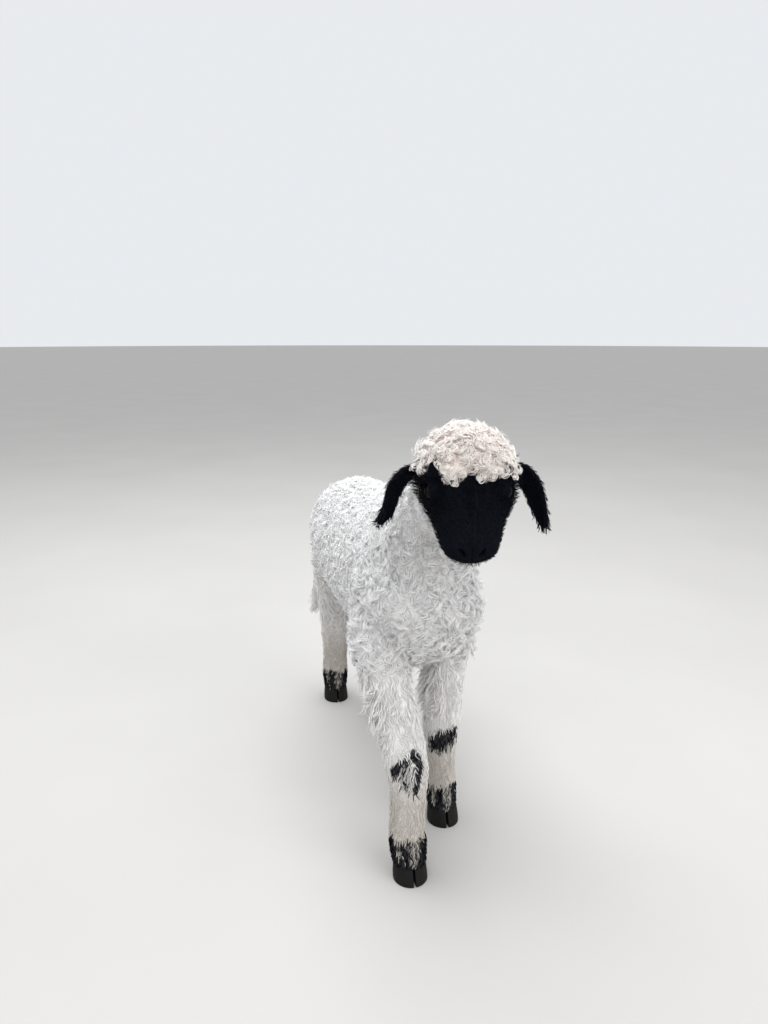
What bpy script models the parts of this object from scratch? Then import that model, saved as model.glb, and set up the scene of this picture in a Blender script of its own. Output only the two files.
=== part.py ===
"""A Valais Blacknose lamb about three weeks old, life size, standing with its right foreleg a step ahead.

Units are metres, +Z is up, the lamb faces -Y and its right side is -X.  The origin is on the floor under
the middle of the bounding box.  The body is lofted whole from sections, rounded clumps of wool are fused
to it, and thin plane cuts then part it into the named nodes.  The ears and eyes sit in sockets cut for
them, and each hoof is two claws under the leg.
"""

import math
import random

import bmesh
import bpy
from mathutils import Matrix, Vector
from mathutils.bvhtree import BVHTree

GAP = 0.0003                 # clearance between nodes that touch
STANCE_SHIFT = Vector((-0.0112, -0.0063, 0.0))   # brings the middle of the bounding box over the origin

# Driving dimensions
BACK_HEIGHT = 0.386          # floor to the tips of the wool on the back
BREAST_Y = -0.180            # front of the breast, tips of the wool
BUTTOCK_Y = 0.226            # rear of the buttocks, tips of the wool
BARREL_HALF_WIDTH = 0.078    # widest point of the trunk, tips of the wool
FLEECE_DEPTH = 0.016         # skin to the tips of the wool on the trunk and neck
TOPKNOT_DEPTH = 0.011        # skin to the tips of the wool on the poll
CORE_SHARE = 0.5             # how far out towards the tips of the wool the smooth core reaches
KNEE_HEIGHT = 0.132
HOCK_HEIGHT = 0.128
CORONET_HEIGHT = 0.020       # where the hooves begin
HOOF_WIDTH = 0.038           # both claws of a foot together
HOOF_LENGTH = 0.040
CLEFT_WIDTH = 0.0024
HEAD_LENGTH = 0.132          # poll to the end of the nose
HEAD_HALF_WIDTH = 0.0465     # at the brows
HEAD_PITCH = math.radians(42)
HEAD_TURN = math.radians(14.5)     # towards the lamb's right
HEAD_WIDEST = 0.42           # where the head's sections are widest, as a share of the way down
POLL = Vector((0.0320, -0.186, 0.480))
EYE_RADIUS = 0.0105
LID_THICKNESS = 0.0020
EAR_WIDTH = 0.029
EAR_THICKNESS = 0.0032
EAR_ROOT_CURL = math.radians(150)    # how far the ear's edges wrap round at its root
EAR_LEAF_CURL = math.radians(55)     # and over its leaf
TAIL_RADIUS = 0.0125
TAIL_WOOL_DEPTH = 0.0105
DEWCLAW_RADIUS = 0.0045
DEWCLAW_HEIGHT = 0.042
DEWCLAW_APART = 0.0085       # each dewclaw's distance from the middle of the leg

# Directions of the head: towards the nose, towards the lamb's left, and out of the forehead
NOSEWARD = Vector((-math.sin(HEAD_TURN) * math.cos(HEAD_PITCH),
                   -math.cos(HEAD_TURN) * math.cos(HEAD_PITCH),
                   -math.sin(HEAD_PITCH)))
LEFTWARD = Vector((math.cos(HEAD_TURN), -math.sin(HEAD_TURN), 0.0))
BROWWARD = NOSEWARD.cross(LEFTWARD).normalized()
X_AXIS, Y_AXIS, Z_AXIS = Vector((1, 0, 0)), Vector((0, 1, 0)), Vector((0, 0, 1))

# Colours, as a Principled BSDF takes them, with their roughness
MATERIALS = {
    "wool": ((0.78, 0.76, 0.73, 1), 0.95),
    "black_hair": ((0.012, 0.012, 0.016, 1), 0.85),
    "hoof_horn": ((0.030, 0.027, 0.026, 1), 0.55),
    "eye": ((0.020, 0.012, 0.008, 1), 0.08),
}

# Trunk sections from the breast to the buttocks: (share of the length, shift to the left,
# top and bottom as shares of the back height, share of the half width)
TRUNK_SECTIONS = [
    (0.000, 0.009, 0.758, 0.692, 0.22),
    (0.018, 0.009, 0.817, 0.630, 0.55),
    (0.050, 0.0105, 0.872, 0.570, 0.82),
    (0.115, 0.0105, 0.935, 0.523, 0.98),
    (0.220, 0.0090, 0.986, 0.500, 1.02),
    (0.370, 0.004, 0.994, 0.505, 1.00),
    (0.520, 0.000, 0.990, 0.520, 1.01),
    (0.665, -0.002, 1.000, 0.549, 1.00),
    (0.790, -0.004, 1.003, 0.590, 0.96),
    (0.890, -0.005, 0.972, 0.622, 0.87),
    (0.960, -0.005, 0.905, 0.660, 0.68),
    (1.000, -0.005, 0.815, 0.726, 0.28),
]

# Neck sections from inside the breast to the skull: (centre, half depth from throat to crest, half width)
NECK_SECTIONS = [
    (Vector((0.005, -0.084, 0.262)), 0.074, 0.060),
    (Vector((0.008, -0.096, 0.300)), 0.080, 0.066),
    (Vector((0.012, -0.109, 0.336)), 0.072, 0.063),
    (Vector((0.016, -0.123, 0.369)), 0.061, 0.057),
    (Vector((0.022, -0.135, 0.400)), 0.051, 0.051),
    (Vector((0.028, -0.147, 0.429)), 0.042, 0.043),
    (Vector((0.032, -0.158, 0.452)), 0.035, 0.036),
    (Vector((0.034, -0.168, 0.470)), 0.026, 0.029),
    (Vector((0.035, -0.174, 0.480)), 0.014, 0.018),
]
NECK_DIRECTION = Vector((0.17, -0.43, 0.89)).normalized()

# Leg sections from inside the trunk to the coronet: (x, y, height, half width, half depth), at the
# hair's tips
LEG_SECTIONS = {
    "foreleg_right": [
        (-0.024, -0.098, 0.305, 0.036, 0.052),
        (-0.034, -0.108, 0.270, 0.040, 0.050),
        (-0.0410, -0.120, 0.236, 0.0415, 0.0410),
        (-0.0390, -0.145, 0.200, 0.0290, 0.0330),
        (-0.0335, -0.174, 0.162, 0.0230, 0.0260),
        (-0.0310, -0.194, KNEE_HEIGHT, 0.0270, 0.0255),
        (-0.0295, -0.202, 0.105, 0.0215, 0.0205),
        (-0.0325, -0.206, 0.072, 0.0190, 0.0190),
        (-0.0325, -0.208, 0.046, 0.0220, 0.0215),
        (-0.0315, -0.214, CORONET_HEIGHT, 0.0205, 0.0200),
    ],
    "foreleg_left": [
        (0.030, -0.092, 0.305, 0.036, 0.052),
        (0.043, -0.100, 0.270, 0.040, 0.050),
        (0.048, -0.108, 0.236, 0.036, 0.040),
        (0.041, -0.117, 0.195, 0.0265, 0.031),
        (0.035, -0.128, 0.155, 0.0225, 0.0240),
        (0.032, -0.133, KNEE_HEIGHT, 0.0235, 0.0235),
        (0.032, -0.130, 0.102, 0.0190, 0.0195),
        (0.034, -0.124, 0.070, 0.0180, 0.0185),
        (0.036, -0.121, 0.045, 0.0210, 0.0210),
        (0.037, -0.126, CORONET_HEIGHT, 0.0188, 0.0192),
    ],
    "hindleg_right": [
        (-0.024, 0.134, 0.345, 0.038, 0.060),
        (-0.034, 0.142, 0.305, 0.044, 0.063),
        (-0.037, 0.150, 0.258, 0.040, 0.054),
        (-0.033, 0.168, 0.212, 0.0325, 0.0380),
        (-0.029, 0.194, 0.165, 0.0250, 0.0285),
        (-0.026, 0.216, HOCK_HEIGHT, 0.0225, 0.0275),
        (-0.024, 0.224, 0.098, 0.0200, 0.0220),
        (-0.024, 0.229, 0.066, 0.0190, 0.0200),
        (-0.024, 0.230, 0.045, 0.0215, 0.0215),
        (-0.025, 0.224, CORONET_HEIGHT, 0.0190, 0.0195),
    ],
    "hindleg_left": [
        (0.018, 0.126, 0.345, 0.038, 0.060),
        (0.030, 0.130, 0.305, 0.044, 0.063),
        (0.036, 0.130, 0.258, 0.040, 0.054),
        (0.038, 0.134, 0.212, 0.0325, 0.0380),
        (0.040, 0.150, 0.165, 0.0250, 0.0285),
        (0.040, 0.163, HOCK_HEIGHT, 0.0225, 0.0275),
        (0.040, 0.150, 0.098, 0.0200, 0.0220),
        (0.040, 0.136, 0.066, 0.0190, 0.0200),
        (0.040, 0.129, 0.045, 0.0215, 0.0215),
        (0.040, 0.120, CORONET_HEIGHT, 0.0190, 0.0195),
    ],
}

# Head sections: (share of the head's length from the poll, dorsal height, ventral height,
# share of the half width, how far the lower half narrows to the jaw)
HEAD_SECTIONS = [
    (-0.10, -0.008, -0.038, 0.46, 0.10),
    (0.00, 0.0065, -0.054, 0.78, 0.12),
    (0.13, 0.0160, -0.060, 0.92, 0.20),
    (0.28, 0.0190, -0.062, 0.99, 0.28),
    (0.43, 0.0155, -0.058, 1.01, 0.34),
    (0.55, 0.0085, -0.052, 0.93, 0.34),
    (0.68, 0.0015, -0.045, 0.775, 0.26),
    (0.80, -0.0045, -0.041, 0.675, 0.17),
    (0.90, -0.0080, -0.039, 0.605, 0.14),
    (0.965, -0.0115, -0.0365, 0.500, 0.14),
    (1.000, -0.0175, -0.0315, 0.270, 0.10),
]
# Topknot sections: (share of the head's length, lowest height, share of its depth on top and at the sides)
TOPKNOT_SECTIONS = [
    (-0.20, -0.030, 0.20, -0.70),
    (-0.12, -0.028, 0.90, 0.40),
    (0.00, -0.024, 1.00, 0.95),
    (0.13, -0.018, 1.05, 1.20),
    (0.26, -0.010, 1.00, 1.30),
    (0.38, -0.002, 0.80, 1.10),
    (0.48, 0.005, 0.30, 0.30),
]

# Ear mid-lines in head terms: (noseward, leftward for the left ear, browward, share of the ear's width)
EAR_LINES = {
    "ear_right": [
        (0.033, 0.0360, -0.0030, 0.45),
        (0.040, 0.0500, -0.0020, 0.58),
        (0.047, 0.0610, -0.0035, 0.70),
        (0.054, 0.0680, -0.0115, 0.72),
        (0.061, 0.0718, -0.0200, 0.64),
        (0.069, 0.0748, -0.0280, 0.64),
        (0.077, 0.0790, -0.0330, 0.76),
        (0.084, 0.0862, -0.0345, 0.38),
    ],
    "ear_left": [
        (0.033, 0.0360, -0.0030, 0.45),
        (0.040, 0.0480, -0.0010, 0.60),
        (0.046, 0.0560, -0.0035, 0.76),
        (0.052, 0.0610, -0.0120, 0.84),
        (0.060, 0.0662, -0.0210, 0.78),
        (0.068, 0.0706, -0.0305, 0.66),
        (0.076, 0.0746, -0.0390, 0.54),
        (0.084, 0.0780, -0.0445, 0.22),
    ],
}
SIDES = {"right": -1, "left": 1}

# Distance between clumps of wool on each loft, and their depth
CLUMP_SPACING = {"trunk": 0.068, "neck": 0.058, "topknot": 0.034, "leg": 0.051, "tail": 0.060}
CLUMP_SPREAD = 0.66          # a clump's half width as a share of the spacing
CLUMP_ROW_SPACING = 0.87     # distance between staggered rows of clumps as a share of the spacing
CLUMP_SIDES = 6
CLUMP_ROWS = 5
CLUMP_SEED = 5
THINNEST_WOOL = 0.0105       # shallower wool, as low on the legs, carries no clumps
BURIED_DEPTH = 0.003         # a clump's tip deeper than this inside another loft is left out

# Eye, nostril and mouth in head terms
EYE_PLACE = (0.065, 0.0327, -0.006)
EYE_LOOK = (0.30, 0.86, 0.38)
NOSTRIL_PLACE = (0.1275, 0.0092, -0.0165)
MOUTH_HEIGHT = -0.0300
MOUTH_CORNER_SHARE = 0.70
NOSTRIL_RADII = (0.0052, 0.0021, 0.0055)      # along its slant, across it, and into the nose
LIP_RADIUS = 0.0021
MOUTH_RADIUS = 0.0011        # of the groove between the lips
LID_SLIT_SHARE = 0.86        # half the slit between the lids, as a share of the eye's radius
LID_OPEN_SHARE = 0.52        # half its height

# Hoof sections from the sole up: (share of the height, share of the half width, toe and heel as shares of
# half the length)
HOOF_SECTIONS = [
    (0.00, 1.00, 1.16, 0.84),
    (0.30, 1.00, 1.06, 0.86),
    (0.75, 0.96, 0.90, 0.88),
    (1.00, 0.93, 0.80, 0.86),
]

# Tail centre line from the croup to the tip, which swings to the right, with shares of its radius
TAIL_LINE = [
    (Vector((-0.004, 0.190, 0.342)), 0.90),
    (Vector((-0.006, 0.222, 0.322)), 1.10),
    (Vector((-0.012, 0.248, 0.288)), 1.15),
    (Vector((-0.022, 0.262, 0.245)), 1.15),
    (Vector((-0.034, 0.270, 0.200)), 1.15),
    (Vector((-0.044, 0.273, 0.160)), 1.05),
    (Vector((-0.050, 0.273, 0.132)), 0.60),
]


def in_head(noseward, leftward, browward):
    """The place that lies so far from the poll along the head's own directions."""
    return POLL + NOSEWARD * noseward + LEFTWARD * leftward + BROWWARD * browward


def refine(rows, steps):
    """Rows of numbers with Catmull-Rom steps between them."""
    padded = [rows[0]] + list(rows) + [rows[-1]]
    made = []
    for i in range(1, len(padded) - 2):
        a, b, c, d = padded[i - 1:i + 3]
        for step in range(steps):
            t = step / steps
            row = []
            for p, q, r, s in zip(a, b, c, d):
                bend = (2 * p - 5 * q + 4 * r - s) * t * t + (3 * q - p - 3 * r + s) * t ** 3
                row.append(0.5 * (2 * q + (r - p) * t + bend))
            made.append(tuple(row))
    made.append(tuple(rows[-1]))
    return made


def clear_scene():
    for obj in list(bpy.data.objects):
        bpy.data.objects.remove(obj, do_unlink=True)


def new_collection(name):
    collection = bpy.data.collections.new(name)
    bpy.context.scene.collection.children.link(collection)
    return collection


def make_materials():
    made = {}
    for name, (colour, roughness) in MATERIALS.items():
        material = bpy.data.materials.new(name)
        material.use_nodes = True
        shader = material.node_tree.nodes["Principled BSDF"]
        shader.inputs["Base Color"].default_value = colour
        shader.inputs["Roughness"].default_value = roughness
        shader.inputs["Metallic"].default_value = 0.0
        material.diffuse_color = colour
        made[name] = material
    return made


def add_object(name, shape, collection):
    """An object from a bmesh, which it frees."""
    bmesh.ops.recalc_face_normals(shape, faces=shape.faces)
    bmesh.ops.triangulate(shape, faces=shape.faces)
    mesh = bpy.data.meshes.new(name)
    shape.to_mesh(mesh)
    shape.free()
    obj = bpy.data.objects.new(name, mesh)
    collection.objects.link(obj)
    return obj


def oval(centre, across, upward, half_width, top, bottom, sides, fullness=2.0, narrowing=0.0):
    """A ring round centre: half_width to each side, top above and bottom below, and narrower below by
    narrowing."""
    ring = []
    for i in range(sides):
        angle = 2 * math.pi * (i + 0.5) / sides
        x = math.copysign(abs(math.sin(angle)) ** (2 / fullness), math.sin(angle))
        z = math.copysign(abs(math.cos(angle)) ** (2 / fullness), math.cos(angle))
        pinch = 1 - narrowing * max(0.0, -z)
        height = z * top if z > 0 else z * bottom
        ring.append(centre + across * (x * half_width * pinch) + upward * height)
    return ring


def loft(name, rings, collection):
    """A closed body through rings of equally many points, with flat ends."""
    shape = bmesh.new()
    rows = [[shape.verts.new(point) for point in ring] for ring in rings]
    count = len(rows[0])
    for low, high in zip(rows, rows[1:]):
        for i in range(count):
            j = (i + 1) % count
            shape.faces.new((low[i], low[j], high[j], high[i]))
    shape.faces.new(rows[0])
    shape.faces.new(rows[-1])
    return add_object(name, shape, collection)


def tube(name, points, radius, collection, sides=5):
    """A closed tube of one radius along points."""
    rings = []
    for i, point in enumerate(points):
        along = (points[min(i + 1, len(points) - 1)] - points[max(i - 1, 0)]).normalized()
        across = along.cross(BROWWARD).normalized()
        rings.append(oval(point, across, along.cross(across), radius, radius, radius, sides))
    return loft(name, rings, collection)


def ball(name, centre, radii, axes, collection, columns=12, rows=8):
    """An ellipsoid with its radii along three unit vectors."""
    shape = bmesh.new()
    bmesh.ops.create_uvsphere(shape, u_segments=columns, v_segments=rows, radius=1)
    stretch = Matrix([axis * radius for axis, radius in zip(axes, radii)]).transposed().to_4x4()
    bmesh.ops.transform(shape, verts=shape.verts, matrix=Matrix.Translation(centre) @ stretch)
    return add_object(name, shape, collection)


def grown(polygon, amount):
    """A polygon, its corners in turn, with each side moved outwards by amount."""
    count = len(polygon)
    area = sum(polygon[i - 1][0] * polygon[i][1] - polygon[i][0] * polygon[i - 1][1] for i in range(count))
    turn = math.copysign(1, area)
    made = []
    for i in range(count):
        (ax, ay), (bx, by), (cx, cy) = polygon[i - 1], polygon[i], polygon[(i + 1) % count]
        first, second = Vector((bx - ax, by - ay)).normalized(), Vector((cx - bx, cy - by)).normalized()
        out_first = Vector((first.y, -first.x)) * turn
        out_second = Vector((second.y, -second.x)) * turn
        bisector = (out_first + out_second).normalized()
        corner = Vector((bx, by)) + bisector * (amount / bisector.dot(out_first))
        made.append((corner.x, corner.y))
    return made


def prism(name, polygon, frame, span, collection, grow=0.0):
    """A polygon in the plane of frame's first two axes, drawn out along the third over span.

    frame is (origin, first axis, second axis, third axis)."""
    origin, first, second, third = frame
    outline = grown(polygon, grow)
    rings = [[origin + first * x + second * y + third * end for x, y in outline]
             for end in (span[0] - grow, span[1] + grow)]
    return loft(name, rings, collection)


def fuse(obj, operation, others):
    """Applies one Boolean between obj and a collection's closed meshes or one such mesh.

    The solver is MANIFOLD, because EXACT leaves open edges where the many clumps of wool cross."""
    modifier = obj.modifiers.new(operation.lower(), "BOOLEAN")
    modifier.operation = operation
    modifier.solver = "MANIFOLD"
    if isinstance(others, bpy.types.Collection):
        modifier.operand_type = "COLLECTION"
        modifier.collection = others
    else:
        modifier.object = others
    view = bpy.context.evaluated_depsgraph_get()
    mesh = bpy.data.meshes.new_from_object(obj.evaluated_get(view))
    obj.modifiers.clear()
    obj.data = mesh
    return keep_largest(obj)


def keep_largest(obj):
    """Drops scraps, and the walls of hollows that fusing sealed, from a mesh."""
    shape = bmesh.new()
    shape.from_mesh(obj.data)
    left, best = set(shape.faces), []
    while left:
        start = left.pop()
        island, open_ends = [start], [start]
        while open_ends:
            face = open_ends.pop()
            for edge in face.edges:
                for other in edge.link_faces:
                    if other in left:
                        left.remove(other)
                        island.append(other)
                        open_ends.append(other)
        if len(island) > len(best):
            best = island
    kept = set(best)
    bmesh.ops.delete(shape, geom=[face for face in shape.faces if face not in kept], context="FACES")
    shape.to_mesh(obj.data)
    shape.free()
    return obj


def empty_collection(collection):
    for obj in list(collection.objects):
        bpy.data.objects.remove(obj, do_unlink=True)
    bpy.data.collections.remove(collection)


def trunk_rings(inset, steps=2):
    length = BUTTOCK_Y - BREAST_Y
    rings = []
    for share, shift, top, bottom, width in refine(TRUNK_SECTIONS, steps):
        high, low = top * BACK_HEIGHT - inset, bottom * BACK_HEIGHT + inset
        end_pull = inset * (1 - 2 * share)
        centre = Vector((shift, BREAST_Y + share * length + end_pull, (high + low) / 2))
        half_height = (high - low) / 2
        half_width = width * BARREL_HALF_WIDTH - inset
        rings.append(oval(centre, X_AXIS, Z_AXIS, half_width, half_height, half_height, 20, 2.15))
    return rings


def neck_rings(inset, steps=2):
    crestward = NECK_DIRECTION.cross(X_AXIS).normalized()
    rows = [(*centre, depth, width) for centre, depth, width in NECK_SECTIONS]
    return [oval(Vector((x, y, z)), X_AXIS, crestward, width - inset, depth - inset, depth - inset, 16)
            for x, y, z, depth, width in refine(rows, steps)]


def leg_rings(name, inset):
    """Leg sections, whose wool thins from the trunk down to the knee or hock."""
    joint = KNEE_HEIGHT if name.startswith("fore") else HOCK_HEIGHT
    rings = []
    for x, y, z, width, depth in refine(LEG_SECTIONS[name], 2):
        wool = inset * min(1.0, max(0.0, (z - joint - 0.02) / 0.10))
        width, depth = width - wool, depth - wool
        rings.append(oval(Vector((x, y, z)), X_AXIS, -Y_AXIS, width, depth, depth, 12))
    return rings


def head_rows():
    """Head sections with steps between: noseward place, dorsal and ventral heights, half width and
    narrowing."""
    return [(share * HEAD_LENGTH, high, low, width * HEAD_HALF_WIDTH, narrowing)
            for share, high, low, width, narrowing in refine(HEAD_SECTIONS, 2)]


def head_rings():
    rings = []
    for nose, high, low, width, narrowing in head_rows():
        middle = high + (low - high) * HEAD_WIDEST
        rings.append(oval(in_head(nose, 0, middle), LEFTWARD, BROWWARD, width,
                          high - middle, middle - low, 24, 2.2, narrowing))
    return rings


def skull_at(nose):
    """The head section at one place from the poll, as head_rows gives them."""
    rows = head_rows()
    for before, after in zip(rows, rows[1:]):
        if nose <= after[0]:
            break
    t = min(1.0, (nose - before[0]) / (after[0] - before[0]))
    return [p + (q - p) * t for p, q in zip(before, after)]


def topknot_rings(depth):
    """The wool over the poll and the brow, from the nape to the hairline."""
    rings = []
    for share, floor, top_share, side_share in refine(TOPKNOT_SECTIONS, 2):
        nose, high, low, width, narrowing = skull_at(share * HEAD_LENGTH)
        centre = in_head(share * HEAD_LENGTH, 0, floor)
        rings.append(oval(centre, LEFTWARD, BROWWARD, width + depth * side_share,
                          high - floor + depth * top_share, 0.006, 22, 2.1))
    return rings


def tail_rings(inset):
    line = [(*point, share) for point, share in TAIL_LINE]
    rings = []
    for i, (x, y, z, share) in enumerate(line):
        before, after = line[max(i - 1, 0)], line[min(i + 1, len(line) - 1)]
        along = (Vector(after[:3]) - Vector(before[:3])).normalized()
        across = along.cross(Vector((0, 1, 0.4))).normalized()
        radius = TAIL_RADIUS * share - inset
        rings.append(oval(Vector((x, y, z)), across, along.cross(across), radius, radius, radius, 8))
    return rings


def ear_rings(name, grow=0.0):
    """A cupped leaf, made larger by grow: each section is a crescent, open to the front and rolled tight at
    the root."""
    side = SIDES[name.split("_")[1]]
    rows = refine(EAR_LINES[name], 2)
    middles = [in_head(nose, side * left, brow) for nose, left, brow, share in rows]
    rings = []
    for i, centre in enumerate(middles):
        along = (middles[min(i + 1, len(rows) - 1)] - middles[max(i - 1, 0)]).normalized()
        travel = i / (len(rows) - 1)
        end_pull = grow * (2 * travel - 1)
        open_way = NOSEWARD * 0.8 + BROWWARD * 0.25 * (1 - travel)
        open_way -= LEFTWARD * side * (0.1 + 0.5 * travel)
        open_way = (open_way - along * open_way.dot(along)).normalized()
        across = along.cross(open_way).normalized()
        curl = EAR_ROOT_CURL + (EAR_LEAF_CURL - EAR_ROOT_CURL) * min(1.0, travel * 2.2)
        radius = EAR_WIDTH / 2 * rows[i][3] / math.sin(curl / 2)
        inner_radius = radius - EAR_THICKNESS * (1.5 - 0.8 * travel) - grow
        hub = centre + open_way * radius * 0.75 + along * end_pull
        radius += grow
        curl += 2 * grow / radius
        turns = [curl * (k / 6 - 0.5) for k in range(7)]
        outer = [hub - open_way * math.cos(a) * radius + across * math.sin(a) * radius for a in turns]
        inner = [hub - open_way * math.cos(a) * inner_radius + across * math.sin(a) * inner_radius
                 for a in reversed(turns[1:-1])]
        rings.append(outer + inner)
    return rings


def eye_frame(side):
    """The eye's centre, and unit vectors out of it, up and along the slit of the lids."""
    nose, left, brow = EYE_PLACE
    out = NOSEWARD * EYE_LOOK[0] + LEFTWARD * EYE_LOOK[1] * side + BROWWARD * EYE_LOOK[2]
    out.normalize()
    slit = (NOSEWARD * 0.94 - BROWWARD * 0.30)
    slit = (slit - out * slit.dot(out)).normalized()
    return in_head(nose, left * side, brow), out, out.cross(slit).normalized(), slit


def eye_ball(side, radius, name, collection):
    centre, out, up, slit = eye_frame(side)
    return ball(name, centre, (radius, radius, radius), (slit, up, out), collection)


def lid_opening(side, collection):
    """The almond between the lids, drawn out along the eye's look."""
    centre, out, up, slit = eye_frame(side)
    half_slit, half_height = EYE_RADIUS * LID_SLIT_SHARE, EYE_RADIUS * LID_OPEN_SHARE
    rings = []
    for reach, spread in ((0.30, 1.0), (1.60, 1.25)):
        ring = []
        for i in range(14):
            angle = 2 * math.pi * i / 14
            across = math.cos(angle)
            height = math.sin(angle) * (1 - 0.35 * across * across)
            ring.append(centre + out * EYE_RADIUS * reach
                        + slit * (across * half_slit * spread) + up * (height * half_height * spread))
        rings.append(ring)
    return loft("lid_opening", rings, collection)


def muzzle_line(height, out=0.0):
    """Points along the muzzle's surface at one height, from corner to corner round the front."""
    rows = [row for row in head_rows() if row[0] >= MOUTH_CORNER_SHARE * HEAD_LENGTH][::2]
    half = []
    for nose, high, low, width, narrowing in rows:
        middle = high + (low - high) * HEAD_WIDEST
        down = min(0.95, max(0.0, (middle - height) / (middle - low)))
        reach = width * (1 - down ** 2.2) ** (1 / 2.2) * (1 - narrowing * down) + out
        half.append((nose, reach))
    half.append((HEAD_LENGTH + out, 0.0))
    points = [in_head(nose, -reach, height) for nose, reach in half]
    return points + [in_head(nose, reach, height) for nose, reach in reversed(half[:-1])]


def point_along(places, steps, travel):
    """The number of the step in which a distance lies, and the share of that step it covers."""
    i = 0
    while travel > steps[i] and i < places - 1:
        travel -= steps[i]
        i += 1
    return i, travel / steps[i]


def seat_at(rings, steps, travel, turn):
    """A place on a loft's surface, so far along it and such a share of the way round.

    It is (point, way out of the surface, way along the loft, the loft's radius there, and from 0 to 1 how
    squarely the surface faces away from the loft's middle line)."""
    i, share = point_along(len(steps), steps, travel)
    ring = [a.lerp(b, share) for a, b in zip(rings[i], rings[i + 1])]
    middle = sum(ring, Vector()) / len(ring)
    sides = [(ring[(k + 1) % len(ring)] - ring[k]).length for k in range(len(ring))]
    j, share = point_along(len(sides), sides, sum(sides) * turn)
    after = (j + 1) % len(ring)
    point = ring[j].lerp(ring[after], share)
    along = (rings[i + 1][j] - rings[i][j]).normalized()
    out = (ring[after] - ring[j]).cross(along).normalized()
    if out.dot(point - middle) < 0:
        out.negate()
    return point, out, along, (point - middle).length, out.dot((point - middle).normalized())


def seats(rings, spacing, jitter):
    """Seats set close over a loft's surface in staggered rows."""
    steps = []
    for low, high in zip(rings, rings[1:]):
        steps.append(sum((b - a).length for a, b in zip(low, high)) / len(low))
    row_count = max(1, round(sum(steps) / (spacing * CLUMP_ROW_SPACING)))
    made = []
    for row in range(row_count):
        i = point_along(len(steps), steps, sum(steps) * (row + 0.5) / row_count)[0]
        round_about = sum((a - b).length for a, b in zip(rings[i], rings[i][1:] + rings[i][:1]))
        count = max(2, round(round_about / spacing))
        for k in range(count):
            travel = sum(steps) * (row + 0.5 + jitter.uniform(-0.14, 0.14)) / row_count
            turn = (k + 0.5 * (row % 2) + jitter.uniform(-0.12, 0.12)) / count % 1.0
            made.append(seat_at(rings, steps, travel, turn))
    return made


def buried(point, trees):
    """Whether a point lies well inside one of the closed surfaces: a ray from it then crosses them an odd
    number of times."""
    way = Vector((0.31, 0.23, 0.92)).normalized()
    for tree in trees:
        if tree.find_nearest(point)[3] < BURIED_DEPTH:
            continue
        crossings = 0
        hit = tree.ray_cast(point, way)[0]
        while hit:
            crossings += 1
            hit = tree.ray_cast(hit + way * 1e-5, way)[0]
        if crossings % 2:
            return True
    return False


def add_clumps(lofts, pieces):
    """Rounded clumps of wool over the lofts, their tips on the coat's outer surface.

    lofts maps a name to (rings at the tips of the wool, kind of spacing, depth of the wool at a point).  A
    clump is no wider than the surface's bend lets lie flat, longer along a thin loft, and shorter near a
    loft's ends."""
    jitter = random.Random(CLUMP_SEED)
    trees = {}
    guides = new_collection("guides")
    for name, (rings, *_) in lofts.items():
        guide = loft("guide_" + name, rings, guides)
        trees[name] = BVHTree.FromPolygons([v.co for v in guide.data.vertices],
                                           [tuple(p.vertices) for p in guide.data.polygons])
    empty_collection(guides)
    for name, (rings, kind, depth_at) in lofts.items():
        others = [tree for other, tree in trees.items() if other != name]
        for point, out, along, radius, facing in seats(rings, CLUMP_SPACING[kind], jitter):
            depth = depth_at(point)
            if depth < THINNEST_WOOL or buried(point, others):
                continue
            reach = CLUMP_SPACING[kind] * CLUMP_SPREAD * jitter.uniform(0.9, 1.1)
            bend = radius / max(facing, 0.3)
            half_width = min(reach, 0.80 * bend)
            half_length = min(reach * (0.5 + 0.5 * facing), bend * (0.85 + 1.10 * facing ** 4))
            half_depth = min(0.95 * depth + 0.30 * half_width ** 2 / bend, 0.85 * radius)
            across = out.cross(along).normalized()
            ball("clump", point - out * half_depth * jitter.uniform(0.98, 1.08),
                 (half_length, half_width, half_depth), (across.cross(out), across, out),
                 pieces, CLUMP_SIDES, CLUMP_ROWS)


def leg_wool_depth(name):
    """The wool's depth on a leg, which thins down to the knee or hock."""
    joint = KNEE_HEIGHT if name.startswith("fore") else HOCK_HEIGHT
    return lambda point: FLEECE_DEPTH * min(1.0, max(0.0, (point.z - joint - 0.02) / 0.10))


def coat_lofts():
    """The lofts that carry wool.

    Each is (rings at the tips of the wool, kind of spacing, depth of the wool at a point)."""
    lofts = {
        "trunk": (trunk_rings(0.0), "trunk", lambda point: FLEECE_DEPTH),
        "neck": (neck_rings(0.0), "neck", lambda point: FLEECE_DEPTH),
        "topknot": (topknot_rings(TOPKNOT_DEPTH), "topknot", lambda point: TOPKNOT_DEPTH),
        "tail": (tail_rings(0.0), "tail", lambda point: TAIL_WOOL_DEPTH),
    }
    for name in LEG_SECTIONS:
        lofts[name] = (leg_rings(name, 0.0), "leg", leg_wool_depth(name))
    return lofts


def add_dewclaws(leg, pieces):
    """Two small horn buds behind the fetlock."""
    fetlock = min(LEG_SECTIONS[leg], key=lambda row: abs(row[2] - DEWCLAW_HEIGHT))
    x, y, half_depth = fetlock[0], fetlock[1], fetlock[4]
    for side in SIDES.values():
        place = Vector((x + side * DEWCLAW_APART, y + half_depth * 0.92, DEWCLAW_HEIGHT))
        ball("dewclaw", place, (DEWCLAW_RADIUS, DEWCLAW_RADIUS, DEWCLAW_RADIUS * 1.5),
             (X_AXIS, Y_AXIS, Z_AXIS), pieces, 6, 4)


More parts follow.
